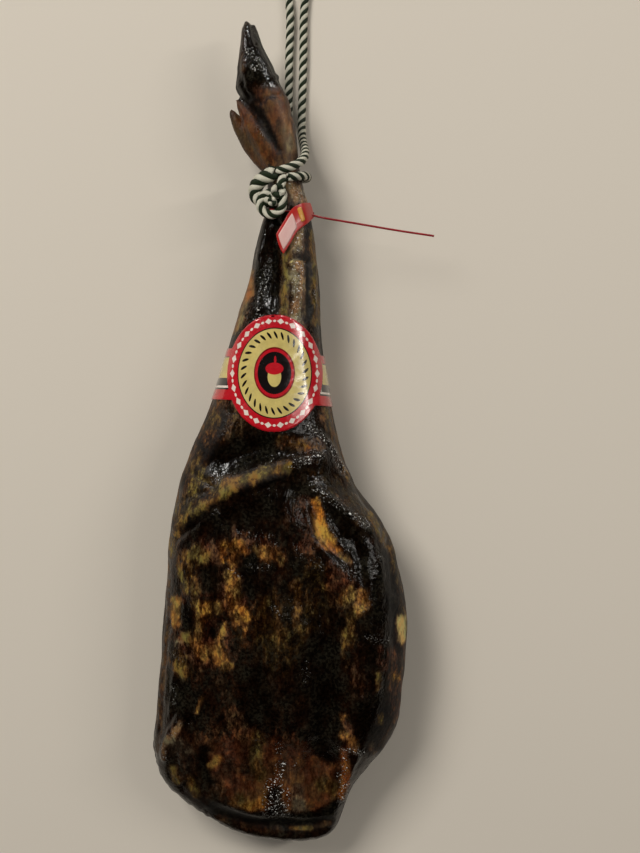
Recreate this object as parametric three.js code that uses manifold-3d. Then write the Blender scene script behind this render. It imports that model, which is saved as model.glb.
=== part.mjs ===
// A whole cured Iberian shoulder ham with its trotter, its die-cut paper label, its plastic seal
// and the rope it is hung by. Millimetres, Z up. The ham lies on its back with the shown side up
// and the hoof towards +Y; the origin is on the resting plane, under the middle of the footprint.
import * as THREE from 'three';
import { mergeVertices } from 'three/addons/utils/BufferGeometryUtils.js';
import Module from 'manifold-3d';

const wasm = await Module();
wasm.setup();

// The leg: stations from the blade end to the foot. Left and right are the outline seen from above,
// top and under the highest and lowest line, side the height of the widest line. Where the under
// line falls below 0 the leg is flat, and rests there.
const LEG_STATIONS = [
  { y: -350, left: -16, right: 13, top: 48, under: 32, side: 41 },
  { y: -346, left: -42, right: 30, top: 54, under: 25, side: 41 },
  { y: -332, left: -69, right: 40, top: 60, under: 17, side: 41 },
  { y: -317, left: -92, right: 45, top: 66, under: 12, side: 42 },
  { y: -303, left: -108, right: 50, top: 70, under: 8, side: 43 },
  { y: -290, left: -116, right: 60, top: 74, under: 5, side: 44 },
  { y: -265, left: -120, right: 81, top: 81, under: 1, side: 46 },
  { y: -240, left: -117, right: 90, top: 87, under: -2, side: 47 },
  { y: -165, left: -111, right: 97, top: 96, under: -5, side: 48 },
  { y: -100, left: -106, right: 86, top: 99, under: -5, side: 49 },
  { y: -72, left: -103, right: 72, top: 98, under: -4, side: 50 },
  { y: -45, left: -97, right: 52, top: 96, under: -3, side: 50 },
  { y: -16, left: -87, right: 41, top: 93, under: 1, side: 50 },
  { y: 24, left: -70, right: 32, top: 88, under: 8, side: 50 },
  { y: 80, left: -53, right: 24, top: 81, under: 18, side: 50 },
  { y: 133, left: -37, right: 21, top: 75, under: 25, side: 50 },
  { y: 172, left: -29, right: 17, top: 70, under: 31, side: 50 },
  { y: 190, left: -24, right: 14, top: 68, under: 33, side: 50 },
  { y: 208, left: -22, right: 8, top: 67, under: 33, side: 50 },
  { y: 226, left: -22, right: 5, top: 67, under: 33, side: 50 },
  { y: 257, left: -29, right: 2, top: 68, under: 32, side: 50 },
  { y: 272, left: -33, right: -2, top: 69, under: 31, side: 50 },
  { y: 298, left: -42, right: -16, top: 63, under: 37, side: 50 },
];
const LEG_RINGS = 84;
const LEG_SIDES_ABOVE = 30;
const LEG_SIDES_BELOW = 18;
// Rings stand closer together towards the blade end, where the outline turns fastest.
const RING_CROWDING = 0.06;
// How square the cross-section is (2 is an ellipse), in the shank and in the body.
const SHANK_SQUARENESS = 2.15;
const BODY_SQUARENESS = 2.5;
const SHANK_STARTS = 60;
const BODY_STARTS = -60;

// Relief of the shown side: each stroke is a ridge (height above 0) or a hollow along its points.
const RELIEF_STROKES = [
  // Fat ridge under the shank.
  { height: 5, width: 9, points: [[-98, -78], [-77, -64], [-52, -48], [-4, -28]] },
  // Glossy muscle end.
  { height: 5, width: 9, points: [[-2, -26], [25, -25]] },
  // Saddle under the label's lower edge.
  { height: -7, width: 13, points: [[-58, -24], [-30, -14], [0, -8]] },
  // Edge of the elbow.
  { height: 3.5, width: 7, points: [[15, 6], [28, -7], [51, -40]] },
  // Hollow inside the elbow.
  { height: -3, width: 8, points: [[28, -28], [45, -50]] },
  // Upper edge of the lobe.
  { height: 5, width: 8, points: [[21, -48], [48, -67], [66, -82]] },
  // Hollow beside the lobe.
  { height: -6, width: 9, points: [[30, -72], [48, -100]] },
  // Lobe.
  { height: 8, width: 21, points: [[66, -115], [68, -180], [62, -240]] },
  // Valley of the blade.
  { height: -9, width: 13, points: [[20, -125], [26, -190], [26, -240], [22, -275]] },
  // Fat side.
  { height: 4, width: 26, points: [[-62, -110], [-72, -190]] },
  // Step down to the blade end.
  { height: -5, width: 20, points: [[-60, -285], [-20, -275], [8, -290]] },
  // Right lip of the blade end.
  { height: 7, width: 8, points: [[41, -258], [50, -272], [43, -298], [33, -326]] },
  // Crease inside the lower rim.
  { height: -6, width: 6, points: [[-66, -322], [-40, -331], [10, -336], [27, -332]] },
  // Fold at the left rim.
  { height: 4, width: 6, points: [[-93, -248], [-106, -272]] },
  // Shank groove.
  { height: -6, width: 7, points: [[-16, 176], [-17, 146], [-18, 96], [-18, 84]] },
  // Shank tendon.
  { height: 4, width: 8, points: [[5, 168], [4, 144], [1, 96]] },
];
// Under the label the leg is smooth, so that the paper lies flat on it.
const SMOOTH_ZONE = { from: -3, to: 100, blend: 10 };
// The relief fades out at the blade end's rim and where the foot begins.
const RELIEF_FROM = { start: -350, full: -338 };
const RELIEF_TO = { full: 215, end: 235 };
const RELIEF_FADE = 0.7;

// Gentle unevenness of the dried surface: waves across the leg in X and Y.
const UNEVEN = [
  { height: 1.1, across: 47, along: 61, shift: 0.4 },
  { height: 0.8, across: 29, along: 37, shift: 1.9 },
  { height: 0.6, across: 71, along: 23, shift: 4.1 },
];

// The trotter: claws and dewclaws, each a tapering horn along its own line.
const NEAR_CLAW = {
  points: [
    [-20, 272, 54], [-29, 290, 56], [-34, 310, 56],
    [-37, 328, 55], [-39.5, 342, 53], [-40, 350, 51],
  ],
  widths: [13, 17, 14.5, 8.7, 5.2, 1.8],
  depths: [14, 14, 13, 9.5, 6, 2.2],
};
const FAR_CLAW = {
  points: [
    [-20, 272, 45], [-27, 292, 44], [-31, 310, 44],
    [-33.5, 328, 45], [-34.5, 341, 47], [-34, 348, 48],
  ],
  widths: [14, 16, 14.5, 8, 4.6, 1.8],
  depths: [13, 13, 12, 8.5, 5.5, 2],
};
const HEEL = {
  points: [[-33, 279, 49], [-38, 284, 49], [-42, 293, 49], [-42, 304, 49], [-40, 311, 49]],
  widths: [3, 5.5, 8, 6.5, 3],
  depths: [8, 12, 15, 12, 6],
};
const INNER_DEWCLAW = {
  points: [
    [-8, 222, 55], [-20, 238, 57], [-31, 254, 58],
    [-40.5, 269, 57], [-45.5, 277, 56], [-49, 282.5, 55],
  ],
  widths: [11, 11, 9.5, 6, 3.4, 1.2],
  depths: [9, 10, 9, 6.5, 4, 1.5],
};
const OUTER_DEWCLAW = {
  points: [
    [-11, 220, 46], [-23.5, 232, 44], [-36, 247, 43],
    [-46.5, 263, 42], [-52, 272, 42], [-54.3, 277, 42],
  ],
  widths: [9, 10, 9.5, 7, 4, 1.6],
  depths: [10, 10, 9, 7, 4.5, 1.8],
};
const CORONET_TUFT = { centre: [-15, 302.5, 50], size: [3, 3, 4] };
const HORN_SIDES = 12;
const TUFT_SIDES = 8;
const TUFT_ROWS = 6;

// The label: one piece of card, an oval on the front with a strap that goes round the shank.
const LABEL = { x: -15, y: 48.5, halfWidth: 40, halfHeight: 49, card: 0.9, clear: 0.7 };
const LABEL_STRAP = { width: 43, drop: 3, tilt: -0.07 };
// The strap's own drop and tilt show where the oval is lower than these shares of its height.
const STRAP_BLEND = { from: 0.44, to: 0.9 };
const LABEL_COLUMNS = 48;
const LABEL_ROWS = 4;

// The seal: a moulded flag on the front of the ankle, whose tie goes behind the ankle, under the
// knot and the flag, and out through the flag as a straight tail. The flag's rows run from its low
// end to its bent-down top.
const FLAG_ROWS = [
  { left: [-14.8, 163.4, 79], right: [-8.3, 145.7, 78.5] },
  { left: [-8, 174, 78.5], right: [-2, 156.5, 77.5] },
  { left: [-0.7, 185.5, 76.5], right: [4.2, 167.3, 76] },
  { left: [7, 190.5, 73], right: [12, 174, 71.5] },
  { left: [14.5, 193.5, 61], right: [17.5, 180.5, 60] },
];
const FLAG_THICKNESS = 1.6;
const FLAG_STEPS = 12;
const TIE_THICKNESS = 1.8;
const TIE_START = [16.8, 184.5, 60.6];
const TIE_LOOP = { y: 185, slant: -2, clear: 2.2, from: 8, to: -292, points: 18 };
const TIE_SIDES = 6;
const TIE_CHANNEL = 3;
const TIE_STEPS = 44;
const TAIL_POINTS = [
  [9, 181, 72], [15.5, 182.2, 64], [25, 181, 58], [51, 177, 55], [89, 171, 52], [119.8, 166.7, 50],
];

// The rope: diameter, the route of its free part by hand-chosen points, and the turns of its knot.
const ROPE_DIAMETER = 7.5;
const ROPE_SIDES = 8;
const ROPE_STEPS = 80;
const ROPE_ROUTE = [
  [-13.5, 217.2, 73.6], [-6, 219.3, 74.7], [0.5, 222, 73.3], [5.8, 225.7, 69], [8.8, 230.3, 62.5],
  [9.8, 236, 53.5], [9.2, 243, 41.5], [7.8, 250.5, 29], [6.7, 260, 17], [6.3, 273, 8.3],
  [6.8, 292, 4.6], [7.8, 330, 4.1], [8.4, 372, 4.1], [10.8, 392, 4.1], [17, 409, 4.1],
  [21.5, 423, 4.1], [20.5, 435.5, 4.1], [13.2, 444.6, 4.1], [2, 448, 4.1], [-9.2, 444.6, 4.1],
  [-16.5, 435.5, 4.1], [-17.5, 423, 4.1], [-13, 409, 4.1], [-6.6, 392, 4.1], [-4.1, 372, 4.1],
  [-4.7, 330, 4.1], [-5.2, 292, 4.4], [-5.2, 273, 6.8], [-5.2, 258.5, 12], [-5, 246, 19.5],
  [-4, 235.5, 25], [-1.2, 227, 28.4], [3.6, 221.2, 31.4], [8.6, 217.9, 37.6], [11.6, 216.6, 47.2],
  [10.8, 216, 58], [6.9, 214.7, 66.8], [1.6, 213.2, 72.3], [-4.2, 212, 74.8],
];
// The knot: the rope's two ends, each wound once more and turned up towards the viewer.
const KNOT_SIDES = 8;
const KNOT_WINDINGS = [
  // Upper turn.
  {
    thickness: 10,
    steps: 20,
    points: [
      [-15.5, 216.3, 73.1], [-22, 213.4, 71.3], [-29, 210.4, 67.5], [-33, 204.5, 63.5], [-32, 197.5, 62.5],
      [-26.5, 193.5, 64], [-20, 195, 67], [-14.5, 198.6, 69.5], [-12.4, 200, 75], [-12, 200, 80.5],
    ],
  },
  // Lower turn.
  {
    thickness: 7.8,
    steps: 30,
    points: [
      [-6.1, 211.6, 75.5], [-8.1, 210.5, 76.1], [-9.7, 206, 76.4], [-8.6, 198.5, 76.2], [-8.2, 190, 75.2],
      [-11.4, 183.5, 73.6], [-17.5, 181.4, 71.8], [-24.7, 184.4, 69.8], [-27.6, 191.5, 69], [-24, 198, 69.5],
      [-17, 199, 70.5], [-13.5, 194.5, 71.5], [-16.6, 191.2, 74], [-17.2, 191.2, 80],
    ],
  },
];
// How far the knot is held off the ankle it is hollowed to.
const KNOT_LIFT = new THREE.Vector3(-0.3, 0, 0.45);

function smoothStep(from, to, value) {
  const t = THREE.MathUtils.clamp((value - from) / (to - from), 0, 1);
  return t * t * (3 - 2 * t);
}

// Smooth curve through a column of the stations that never overshoots them.
function column(key) {
  const ys = LEG_STATIONS.map((station) => station.y);
  const values = LEG_STATIONS.map((station) => station[key]);
  const slopes = values.slice(1).map((value, i) => (value - values[i]) / (ys[i + 1] - ys[i]));
  const tangents = values.map((_, i) => {
    if (i === 0) return slopes[0];
    if (i === values.length - 1) return slopes[i - 1];
    if (slopes[i - 1] * slopes[i] <= 0) return 0;
    return (2 * slopes[i - 1] * slopes[i]) / (slopes[i - 1] + slopes[i]);
  });
  return (y) => {
    let i = 0;
    while (i < ys.length - 2 && y > ys[i + 1]) i += 1;
    const span = ys[i + 1] - ys[i];
    const t = (y - ys[i]) / span;
    const blend = t * t * (3 - 2 * t);
    const leave = t * (1 - t) * (1 - t) * span * tangents[i];
    const arrive = t * t * (t - 1) * span * tangents[i + 1];
    return values[i] + (values[i + 1] - values[i]) * blend + leave + arrive;
  };
}

const leftEdge = column('left');
const rightEdge = column('right');
const topLine = column('top');
const underLine = column('under');
const sideLine = column('side');

function distanceToStroke(x, y, points) {
  let nearest = Infinity;
  for (let i = 0; i < points.length - 1; i += 1) {
    const [ax, ay] = points[i];
    const [bx, by] = points[i + 1];
    const along = ((x - ax) * (bx - ax) + (y - ay) * (by - ay)) / ((bx - ax) ** 2 + (by - ay) ** 2);
    const t = THREE.MathUtils.clamp(along, 0, 1);
    nearest = Math.min(nearest, Math.hypot(x - ax - t * (bx - ax), y - ay - t * (by - ay)));
  }
  return nearest;
}

function strokeHeight(x, y) {
  let height = 0;
  for (const stroke of RELIEF_STROKES) {
    height += stroke.height * Math.exp(-((distanceToStroke(x, y, stroke.points) / stroke.width) ** 2));
  }
  return height;
}

function unevenness(x, y) {
  let height = 0;
  for (const wave of UNEVEN) {
    const across = Math.sin((x / wave.across) * Math.PI + wave.shift);
    height += wave.height * across * Math.cos((y / wave.along) * Math.PI);
  }
  return height;
}

// How much of the relief shows at a place along the leg.
function reliefShare(y) {
  const below = 1 - smoothStep(SMOOTH_ZONE.from - SMOOTH_ZONE.blend, SMOOTH_ZONE.from, y);
  const above = smoothStep(SMOOTH_ZONE.to, SMOOTH_ZONE.to + SMOOTH_ZONE.blend, y);
  const atBladeEnd = smoothStep(RELIEF_FROM.start, RELIEF_FROM.full, y);
  const atFoot = 1 - smoothStep(RELIEF_TO.full, RELIEF_TO.end, y);
  return Math.max(below, above) * atBladeEnd * atFoot;
}

// The bare section's point, moved outward: angle 0 is the right edge, a quarter turn the top.
function sectionPoint(y, angle, outward = 0) {
  const upper = Math.sin(angle) >= 0;
  const side = sideLine(y);
  const centre = (leftEdge(y) + rightEdge(y)) / 2;
  const halfWidth = (rightEdge(y) - leftEdge(y)) / 2 + outward;
  const rise = (upper ? topLine(y) - side : side - underLine(y)) + outward;
  const shank = smoothStep(BODY_STARTS, SHANK_STARTS, y);
  const power = 2 / THREE.MathUtils.lerp(BODY_SQUARENESS, SHANK_SQUARENESS, shank);
  const x = centre + halfWidth * Math.sign(Math.cos(angle)) * Math.abs(Math.cos(angle)) ** power;
  const z = side + rise * Math.sign(Math.sin(angle)) * Math.abs(Math.sin(angle)) ** power;
  return new THREE.Vector3(x, y, z);
}

// A point of the leg's skin, with its relief on the shown side and its unevenness all round.
function legPoint(y, angle) {
  const point = sectionPoint(y, angle);
  const facing = Math.sign(Math.sin(angle)) * Math.abs(Math.sin(angle)) ** RELIEF_FADE;
  const strokes = facing > 0 ? strokeHeight(point.x, y) : 0;
  point.z += (strokes + unevenness(point.x, y)) * facing * reliefShare(y);
  point.z = Math.max(point.z, 0);
  return point;
}

// Closed skin through rings of equal count, each end shut by a fan on its middle.
function loft(rings) {
  const count = rings[0].length;
  const points = rings.flat();
  const faces = [];
  for (let i = 0; i < rings.length - 1; i += 1) {
    for (let j = 0; j < count; j += 1) {
      const a = i * count + j;
      const b = i * count + (j + 1) % count;
      faces.push(a, a + count, b, b, a + count, b + count);
    }
  }
  for (const end of [0, rings.length - 1]) {
    const middle = new THREE.Vector3();
    rings[end].forEach((point) => middle.add(point));
    points.push(middle.divideScalar(count));
    for (let j = 0; j < count; j += 1) {
      const a = end * count + j;
      const b = end * count + (j + 1) % count;
      if (end === 0) faces.push(a, b, points.length - 1);
      else faces.push(b, a, points.length - 1);
    }
  }
  const geometry = new THREE.BufferGeometry().setFromPoints(points);
  geometry.setIndex(faces);
  return geometry;
}

// Corners closer together than this are one corner of the solid.
const SAME_CORNER = 1e-4;

function toSolid(geometry) {
  const bare = geometry.clone();
  bare.deleteAttribute('normal');
  bare.deleteAttribute('uv');
  const merged = mergeVertices(bare, SAME_CORNER);
  return new wasm.Manifold(new wasm.Mesh({
    numProp: 3,
    vertProperties: new Float32Array(merged.attributes.position.array),
    triVerts: new Uint32Array(merged.index.array),
  }));
}

function toGeometry(solid) {
  const mesh = solid.getMesh();
  const geometry = new THREE.BufferGeometry();
  geometry.setAttribute('position', new THREE.BufferAttribute(mesh.vertProperties, 3));
  geometry.setIndex(new THREE.BufferAttribute(mesh.triVerts, 1));
  return geometry;
}

function legAngles() {
  const angles = [];
  for (let j = 0; j < LEG_SIDES_ABOVE; j += 1) angles.push((Math.PI * j) / LEG_SIDES_ABOVE);
  for (let j = 0; j < LEG_SIDES_BELOW; j += 1) angles.push(Math.PI + (Math.PI * j) / LEG_SIDES_BELOW);
  return angles;
}

function makeLeg() {
  const first = LEG_STATIONS[0].y;
  const last = LEG_STATIONS[LEG_STATIONS.length - 1].y;
  const angles = legAngles();
  const rings = [];
  for (let i = 0; i <= LEG_RINGS; i += 1) {
    const t = i / LEG_RINGS;
    const crowded = t - RING_CROWDING * Math.sin(2 * Math.PI * Math.min(t, 0.5));
    const y = THREE.MathUtils.lerp(first, last, crowded);
    rings.push(angles.map((angle) => legPoint(y, angle)));
  }
  return loft(rings);
}

// A horn: oval sections square to its line, wide across the leg and deep in Z.
function makeHorn({ points, widths, depths }) {
  const line = points.map((point) => new THREE.Vector3(...point));
  const up = new THREE.Vector3(0, 0, 1);
  const rings = line.map((point, i) => {
    const before = line[Math.max(i - 1, 0)];
    const after = line[Math.min(i + 1, line.length - 1)];
    const along = after.clone().sub(before).normalize();
    const across = along.clone().cross(up).normalize();
    const deep = across.clone().cross(along).normalize();
    return Array.from({ length: HORN_SIDES }, (_, j) => {
      const angle = (2 * Math.PI * j) / HORN_SIDES;
      return point.clone()
        .addScaledVector(across, widths[i] * Math.cos(angle))
        .addScaledVector(deep, depths[i] * Math.sin(angle));
    });
  });
  return loft(rings);
}

function makeTuft() {
  const tuft = new THREE.SphereGeometry(1, TUFT_SIDES, TUFT_ROWS);
  tuft.scale(...CORONET_TUFT.size);
  tuft.translate(...CORONET_TUFT.centre);
  return tuft;
}

function makeHam() {
  let ham = toSolid(makeLeg());
  for (const horn of [NEAR_CLAW, FAR_CLAW, HEEL, INNER_DEWCLAW, OUTER_DEWCLAW]) {
    ham = ham.add(toSolid(makeHorn(horn)));
  }
  return ham.add(toSolid(makeTuft()));
}

// Half the label's height at a place across the front, where the oval is taller than the strap.
function labelReach(x, facingUp) {
  const across = (x - LABEL.x) / LABEL.halfWidth;
  const oval = facingUp && Math.abs(across) < 1 ? LABEL.halfHeight * Math.sqrt(1 - across * across) : 0;
  return Math.max(oval, LABEL_STRAP.width / 2);
}

function makeLabel() {
  const columns = [];
  for (let i = 0; i < LABEL_COLUMNS; i += 1) {
    const angle = (2 * Math.PI * i) / LABEL_COLUMNS;
    const x = sectionPoint(LABEL.y, angle, LABEL.clear).x;
    const reach = labelReach(x, Math.sin(angle) > 0);
    const strap = 1 - smoothStep(STRAP_BLEND.from, STRAP_BLEND.to, reach / LABEL.halfHeight);
    const middle = LABEL.y + strap * (LABEL_STRAP.tilt * (x - LABEL.x) - LABEL_STRAP.drop);
    const rows = Array.from(
      { length: LABEL_ROWS + 1 },
      (_, j) => middle + reach * ((2 * j) / LABEL_ROWS - 1),
    );
    const outside = rows.map((y) => sectionPoint(y, angle, LABEL.clear + LABEL.card));
    const inside = rows.map((y) => sectionPoint(y, angle, LABEL.clear)).reverse();
    columns.push([...outside, ...inside]);
  }
  return closedRing(columns);
}

// Skin through rings that follow each other round a loop.
function closedRing(columns) {
  const count = columns[0].length;
  const faces = [];
  for (let i = 0; i < columns.length; i += 1) {
    const next = (i + 1) % columns.length;
    for (let j = 0; j < count; j += 1) {
      const a = i * count + j;
      const b = i * count + (j + 1) % count;
      const c = next * count + j;
      const d = next * count + (j + 1) % count;
      faces.push(a, b, c, b, d, c);
    }
  }
  const geometry = new THREE.BufferGeometry().setFromPoints(columns.flat());
  geometry.setIndex(faces);
  return geometry;
}

function tube(curve, diameter, sides, steps) {
  const circle = new THREE.Shape(Array.from({ length: sides }, (_, j) => {
    const angle = (2 * Math.PI * j) / sides;
    return new THREE.Vector2((diameter / 2) * Math.cos(angle), (diameter / 2) * Math.sin(angle));
  }));
  return new THREE.ExtrudeGeometry(circle, { steps, extrudePath: curve, bevelEnabled: false });
}

// A plate between two smooth edges, each through its points in the rows.
function makeFlag() {
  const left = new THREE.CatmullRomCurve3(FLAG_ROWS.map((row) => new THREE.Vector3(...row.left)));
  const right = new THREE.CatmullRomCurve3(FLAG_ROWS.map((row) => new THREE.Vector3(...row.right)));
  const rings = [];
  for (let i = 0; i <= FLAG_STEPS; i += 1) {
    const a = left.getPoint(i / FLAG_STEPS);
    const b = right.getPoint(i / FLAG_STEPS);
    const along = left.getTangent(i / FLAG_STEPS);
    const out = b.clone().sub(a).cross(along).normalize().multiplyScalar(FLAG_THICKNESS / 2);
    rings.push([a.clone().sub(out), b.clone().sub(out), b.clone().add(out), a.clone().add(out)]);
  }
  return loft(rings);
}

// The tie leaves the flag's top, passes behind the ankle and comes back under the flag.
function makeTie(thickness) {
  const points = [new THREE.Vector3(...TIE_START)];
  for (let i = 0; i <= TIE_LOOP.points; i += 1) {
    const degrees = THREE.MathUtils.lerp(TIE_LOOP.from, TIE_LOOP.to, i / TIE_LOOP.points);
    const angle = THREE.MathUtils.degToRad(degrees);
    points.push(sectionPoint(TIE_LOOP.y + TIE_LOOP.slant * Math.cos(angle), angle, TIE_LOOP.clear));
  }
  TAIL_POINTS.forEach((point) => points.push(new THREE.Vector3(...point)));
  return tube(new THREE.CatmullRomCurve3(points), thickness, TIE_SIDES, TIE_STEPS);
}

function makeSeal() {
  return toSolid(makeFlag()).add(toSolid(makeTie(TIE_THICKNESS)));
}

function makeRope() {
  const route = new THREE.CatmullRomCurve3(ROPE_ROUTE.map((point) => new THREE.Vector3(...point)));
  return tube(route, ROPE_DIAMETER, ROPE_SIDES, ROPE_STEPS);
}

// The knot's windings fused, and hollowed where they sit on the ankle and over the tie.
function makeKnot(ham) {
  let knot = null;
  for (const winding of KNOT_WINDINGS) {
    const line = new THREE.CatmullRomCurve3(winding.points.map((point) => new THREE.Vector3(...point)));
    const turn = toSolid(tube(line, winding.thickness, KNOT_SIDES, winding.steps));
    knot = knot ? knot.add(turn) : turn;
  }
  const lift = KNOT_LIFT.toArray();
  const drop = KNOT_LIFT.clone().negate().toArray();
  const seated = knot.translate(drop).subtract(ham).translate(lift);
  return seated.subtract(toSolid(makeTie(TIE_CHANNEL)));
}

function curedMeat() {
  return new THREE.MeshStandardMaterial({ color: 0x2e1f12, roughness: 0.32, metalness: 0 });
}

function printedCard() {
  return new THREE.MeshStandardMaterial({ color: 0xb0121c, roughness: 0.3, metalness: 0 });
}

function redPlastic() {
  return new THREE.MeshStandardMaterial({ color: 0xb3201f, roughness: 0.35, metalness: 0 });
}

function twistedRope() {
  return new THREE.MeshStandardMaterial({ color: 0x7f8a74, roughness: 0.75, metalness: 0 });
}

function part(name, geometry, material) {
  const mesh = new THREE.Mesh(geometry, material);
  mesh.name = name;
  return mesh;
}

const hamSolid = makeHam();
const group = new THREE.Group();
group.add(part('ham', toGeometry(hamSolid), curedMeat()));
group.add(part('label', makeLabel(), printedCard()));
group.add(part('seal', toGeometry(makeSeal()), redPlastic()));
group.add(part('rope', makeRope(), twistedRope()));
group.add(part('rope_knot', toGeometry(makeKnot(hamSolid)), twistedRope()));

export default group;
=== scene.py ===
import math

import bpy
import numpy as np
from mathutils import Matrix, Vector, noise
from mathutils.bvhtree import BVHTree


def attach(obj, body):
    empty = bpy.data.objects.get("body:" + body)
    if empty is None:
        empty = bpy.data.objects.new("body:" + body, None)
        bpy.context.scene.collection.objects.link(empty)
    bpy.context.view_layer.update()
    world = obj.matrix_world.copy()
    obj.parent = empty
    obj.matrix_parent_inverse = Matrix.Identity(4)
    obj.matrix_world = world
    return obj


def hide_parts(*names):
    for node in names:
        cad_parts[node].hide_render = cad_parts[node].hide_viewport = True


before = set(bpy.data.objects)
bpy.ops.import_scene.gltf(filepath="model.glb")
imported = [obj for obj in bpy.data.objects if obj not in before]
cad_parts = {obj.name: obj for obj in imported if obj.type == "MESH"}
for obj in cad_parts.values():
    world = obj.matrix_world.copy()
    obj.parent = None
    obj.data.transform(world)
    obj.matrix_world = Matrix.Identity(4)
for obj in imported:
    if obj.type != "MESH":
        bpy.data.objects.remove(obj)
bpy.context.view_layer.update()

# The camera looks straight down on the ham, which lies on its back with the hoof at the top of
# the picture, from 1.1 m above the middle of its thickness.
CAMERA_PLACE = (0.0226, 0.0043, 1.150)
VIEW_HEIGHT_DEGREES = 36.58
SENSOR_HEIGHT = 24
camera_data = bpy.data.cameras.new("camera")
camera_data.sensor_fit = "VERTICAL"
camera_data.sensor_height = SENSOR_HEIGHT
camera_data.lens = SENSOR_HEIGHT / 2 / math.tan(math.radians(VIEW_HEIGHT_DEGREES / 2))
camera_data.clip_start = 0.05
camera = bpy.data.objects.new("camera", camera_data)
camera.location = CAMERA_PLACE
bpy.context.scene.collection.objects.link(camera)
bpy.context.scene.camera = camera


# The rope: four hard-laid synthetic strands, two dark green and two off-white, 7.5 mm thick. It
# goes from the knot round the ankle, under the foot and up to the loop the ham hangs by, and back.
ROPE_DIAMETER = 0.0075
# How far along the rope a strand goes for one turn.
ROPE_LAY = 0.018
STRANDS = 4
STRAND_SIDES = 10
RINGS_A_TURN = 22
# The strands press each other wider than they are deep.
STRAND_HALF_DEPTH = 0.5
STRAND_HALF_WIDTH = 0.6
STEPS_BETWEEN_POINTS = 12
ROPE_ROUTE = [
    (-0.0135, 0.2172, 0.0736), (-0.006, 0.2193, 0.0747), (0.0005, 0.222, 0.0733),
    (0.0058, 0.2257, 0.069), (0.0088, 0.2303, 0.0625), (0.0098, 0.236, 0.0535),
    (0.0092, 0.243, 0.0415), (0.0078, 0.2505, 0.029), (0.0067, 0.26, 0.017),
    (0.0063, 0.273, 0.0083), (0.0068, 0.292, 0.0046), (0.0078, 0.33, 0.0041),
    (0.0084, 0.372, 0.0041), (0.0108, 0.392, 0.0041), (0.017, 0.409, 0.0041),
    (0.0215, 0.423, 0.0041), (0.0205, 0.4355, 0.0041), (0.0132, 0.4446, 0.0041),
    (0.002, 0.448, 0.0041), (-0.0092, 0.4446, 0.0041), (-0.0165, 0.4355, 0.0041),
    (-0.0175, 0.423, 0.0041), (-0.013, 0.409, 0.0041), (-0.0066, 0.392, 0.0041),
    (-0.0041, 0.372, 0.0041), (-0.0047, 0.33, 0.0041), (-0.0052, 0.292, 0.0044),
    (-0.0052, 0.273, 0.0068), (-0.0052, 0.2585, 0.012), (-0.005, 0.246, 0.0195),
    (-0.004, 0.2355, 0.025), (-0.0012, 0.227, 0.0284), (0.0036, 0.2212, 0.0314),
    (0.0086, 0.2179, 0.0376), (0.0116, 0.2166, 0.0472), (0.0108, 0.216, 0.058),
    (0.0069, 0.2147, 0.0668), (0.0016, 0.2132, 0.0723), (-0.0042, 0.212, 0.0748),
]


def smooth_route(points, step):
    """A smooth line through the points, as an array of places a step apart, and its length."""
    line = [np.array(p) for p in points]
    line = [2 * line[0] - line[1]] + line + [2 * line[-1] - line[-2]]
    places = []
    for p0, p1, p2, p3 in zip(line, line[1:], line[2:], line[3:]):
        t1 = np.linalg.norm(p1 - p0) ** 0.5
        t2 = t1 + np.linalg.norm(p2 - p1) ** 0.5
        t3 = t2 + np.linalg.norm(p3 - p2) ** 0.5
        for t in np.linspace(t1, t2, STEPS_BETWEEN_POINTS, endpoint=False):
            a1 = p0 * (t1 - t) / t1 + p1 * t / t1
            a2 = p1 * (t2 - t) / (t2 - t1) + p2 * (t - t1) / (t2 - t1)
            a3 = p2 * (t3 - t) / (t3 - t2) + p3 * (t - t2) / (t3 - t2)
            b1 = a1 * (t2 - t) / t2 + a2 * t / t2
            b2 = a2 * (t3 - t) / (t3 - t1) + a3 * (t - t1) / (t3 - t1)
            places.append(b1 * (t2 - t) / (t2 - t1) + b2 * (t - t1) / (t2 - t1))
    places.append(line[-2])
    places = np.array(places)
    gone = np.concatenate([[0], np.cumsum(np.linalg.norm(np.diff(places, axis=0), axis=1))])
    count = max(2, int(round(gone[-1] / step)) + 1)
    even = np.linspace(0, gone[-1], count)
    return np.stack([np.interp(even, gone, places[:, k]) for k in range(3)], axis=1), gone[-1]


def carried_frames(line):
    """For each place on the line its direction, and two directions square to it that don't twist."""
    along = np.gradient(line, axis=0)
    along /= np.linalg.norm(along, axis=1)[:, None]
    first = np.cross(along[0], (0.3, 0.2, 1.0))
    normals = [first / np.linalg.norm(first)]
    for direction in along[1:]:
        n = normals[-1] - direction * np.dot(normals[-1], direction)
        normals.append(n / np.linalg.norm(n))
    normals = np.array(normals)
    return along, normals, np.cross(along, normals)


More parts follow.
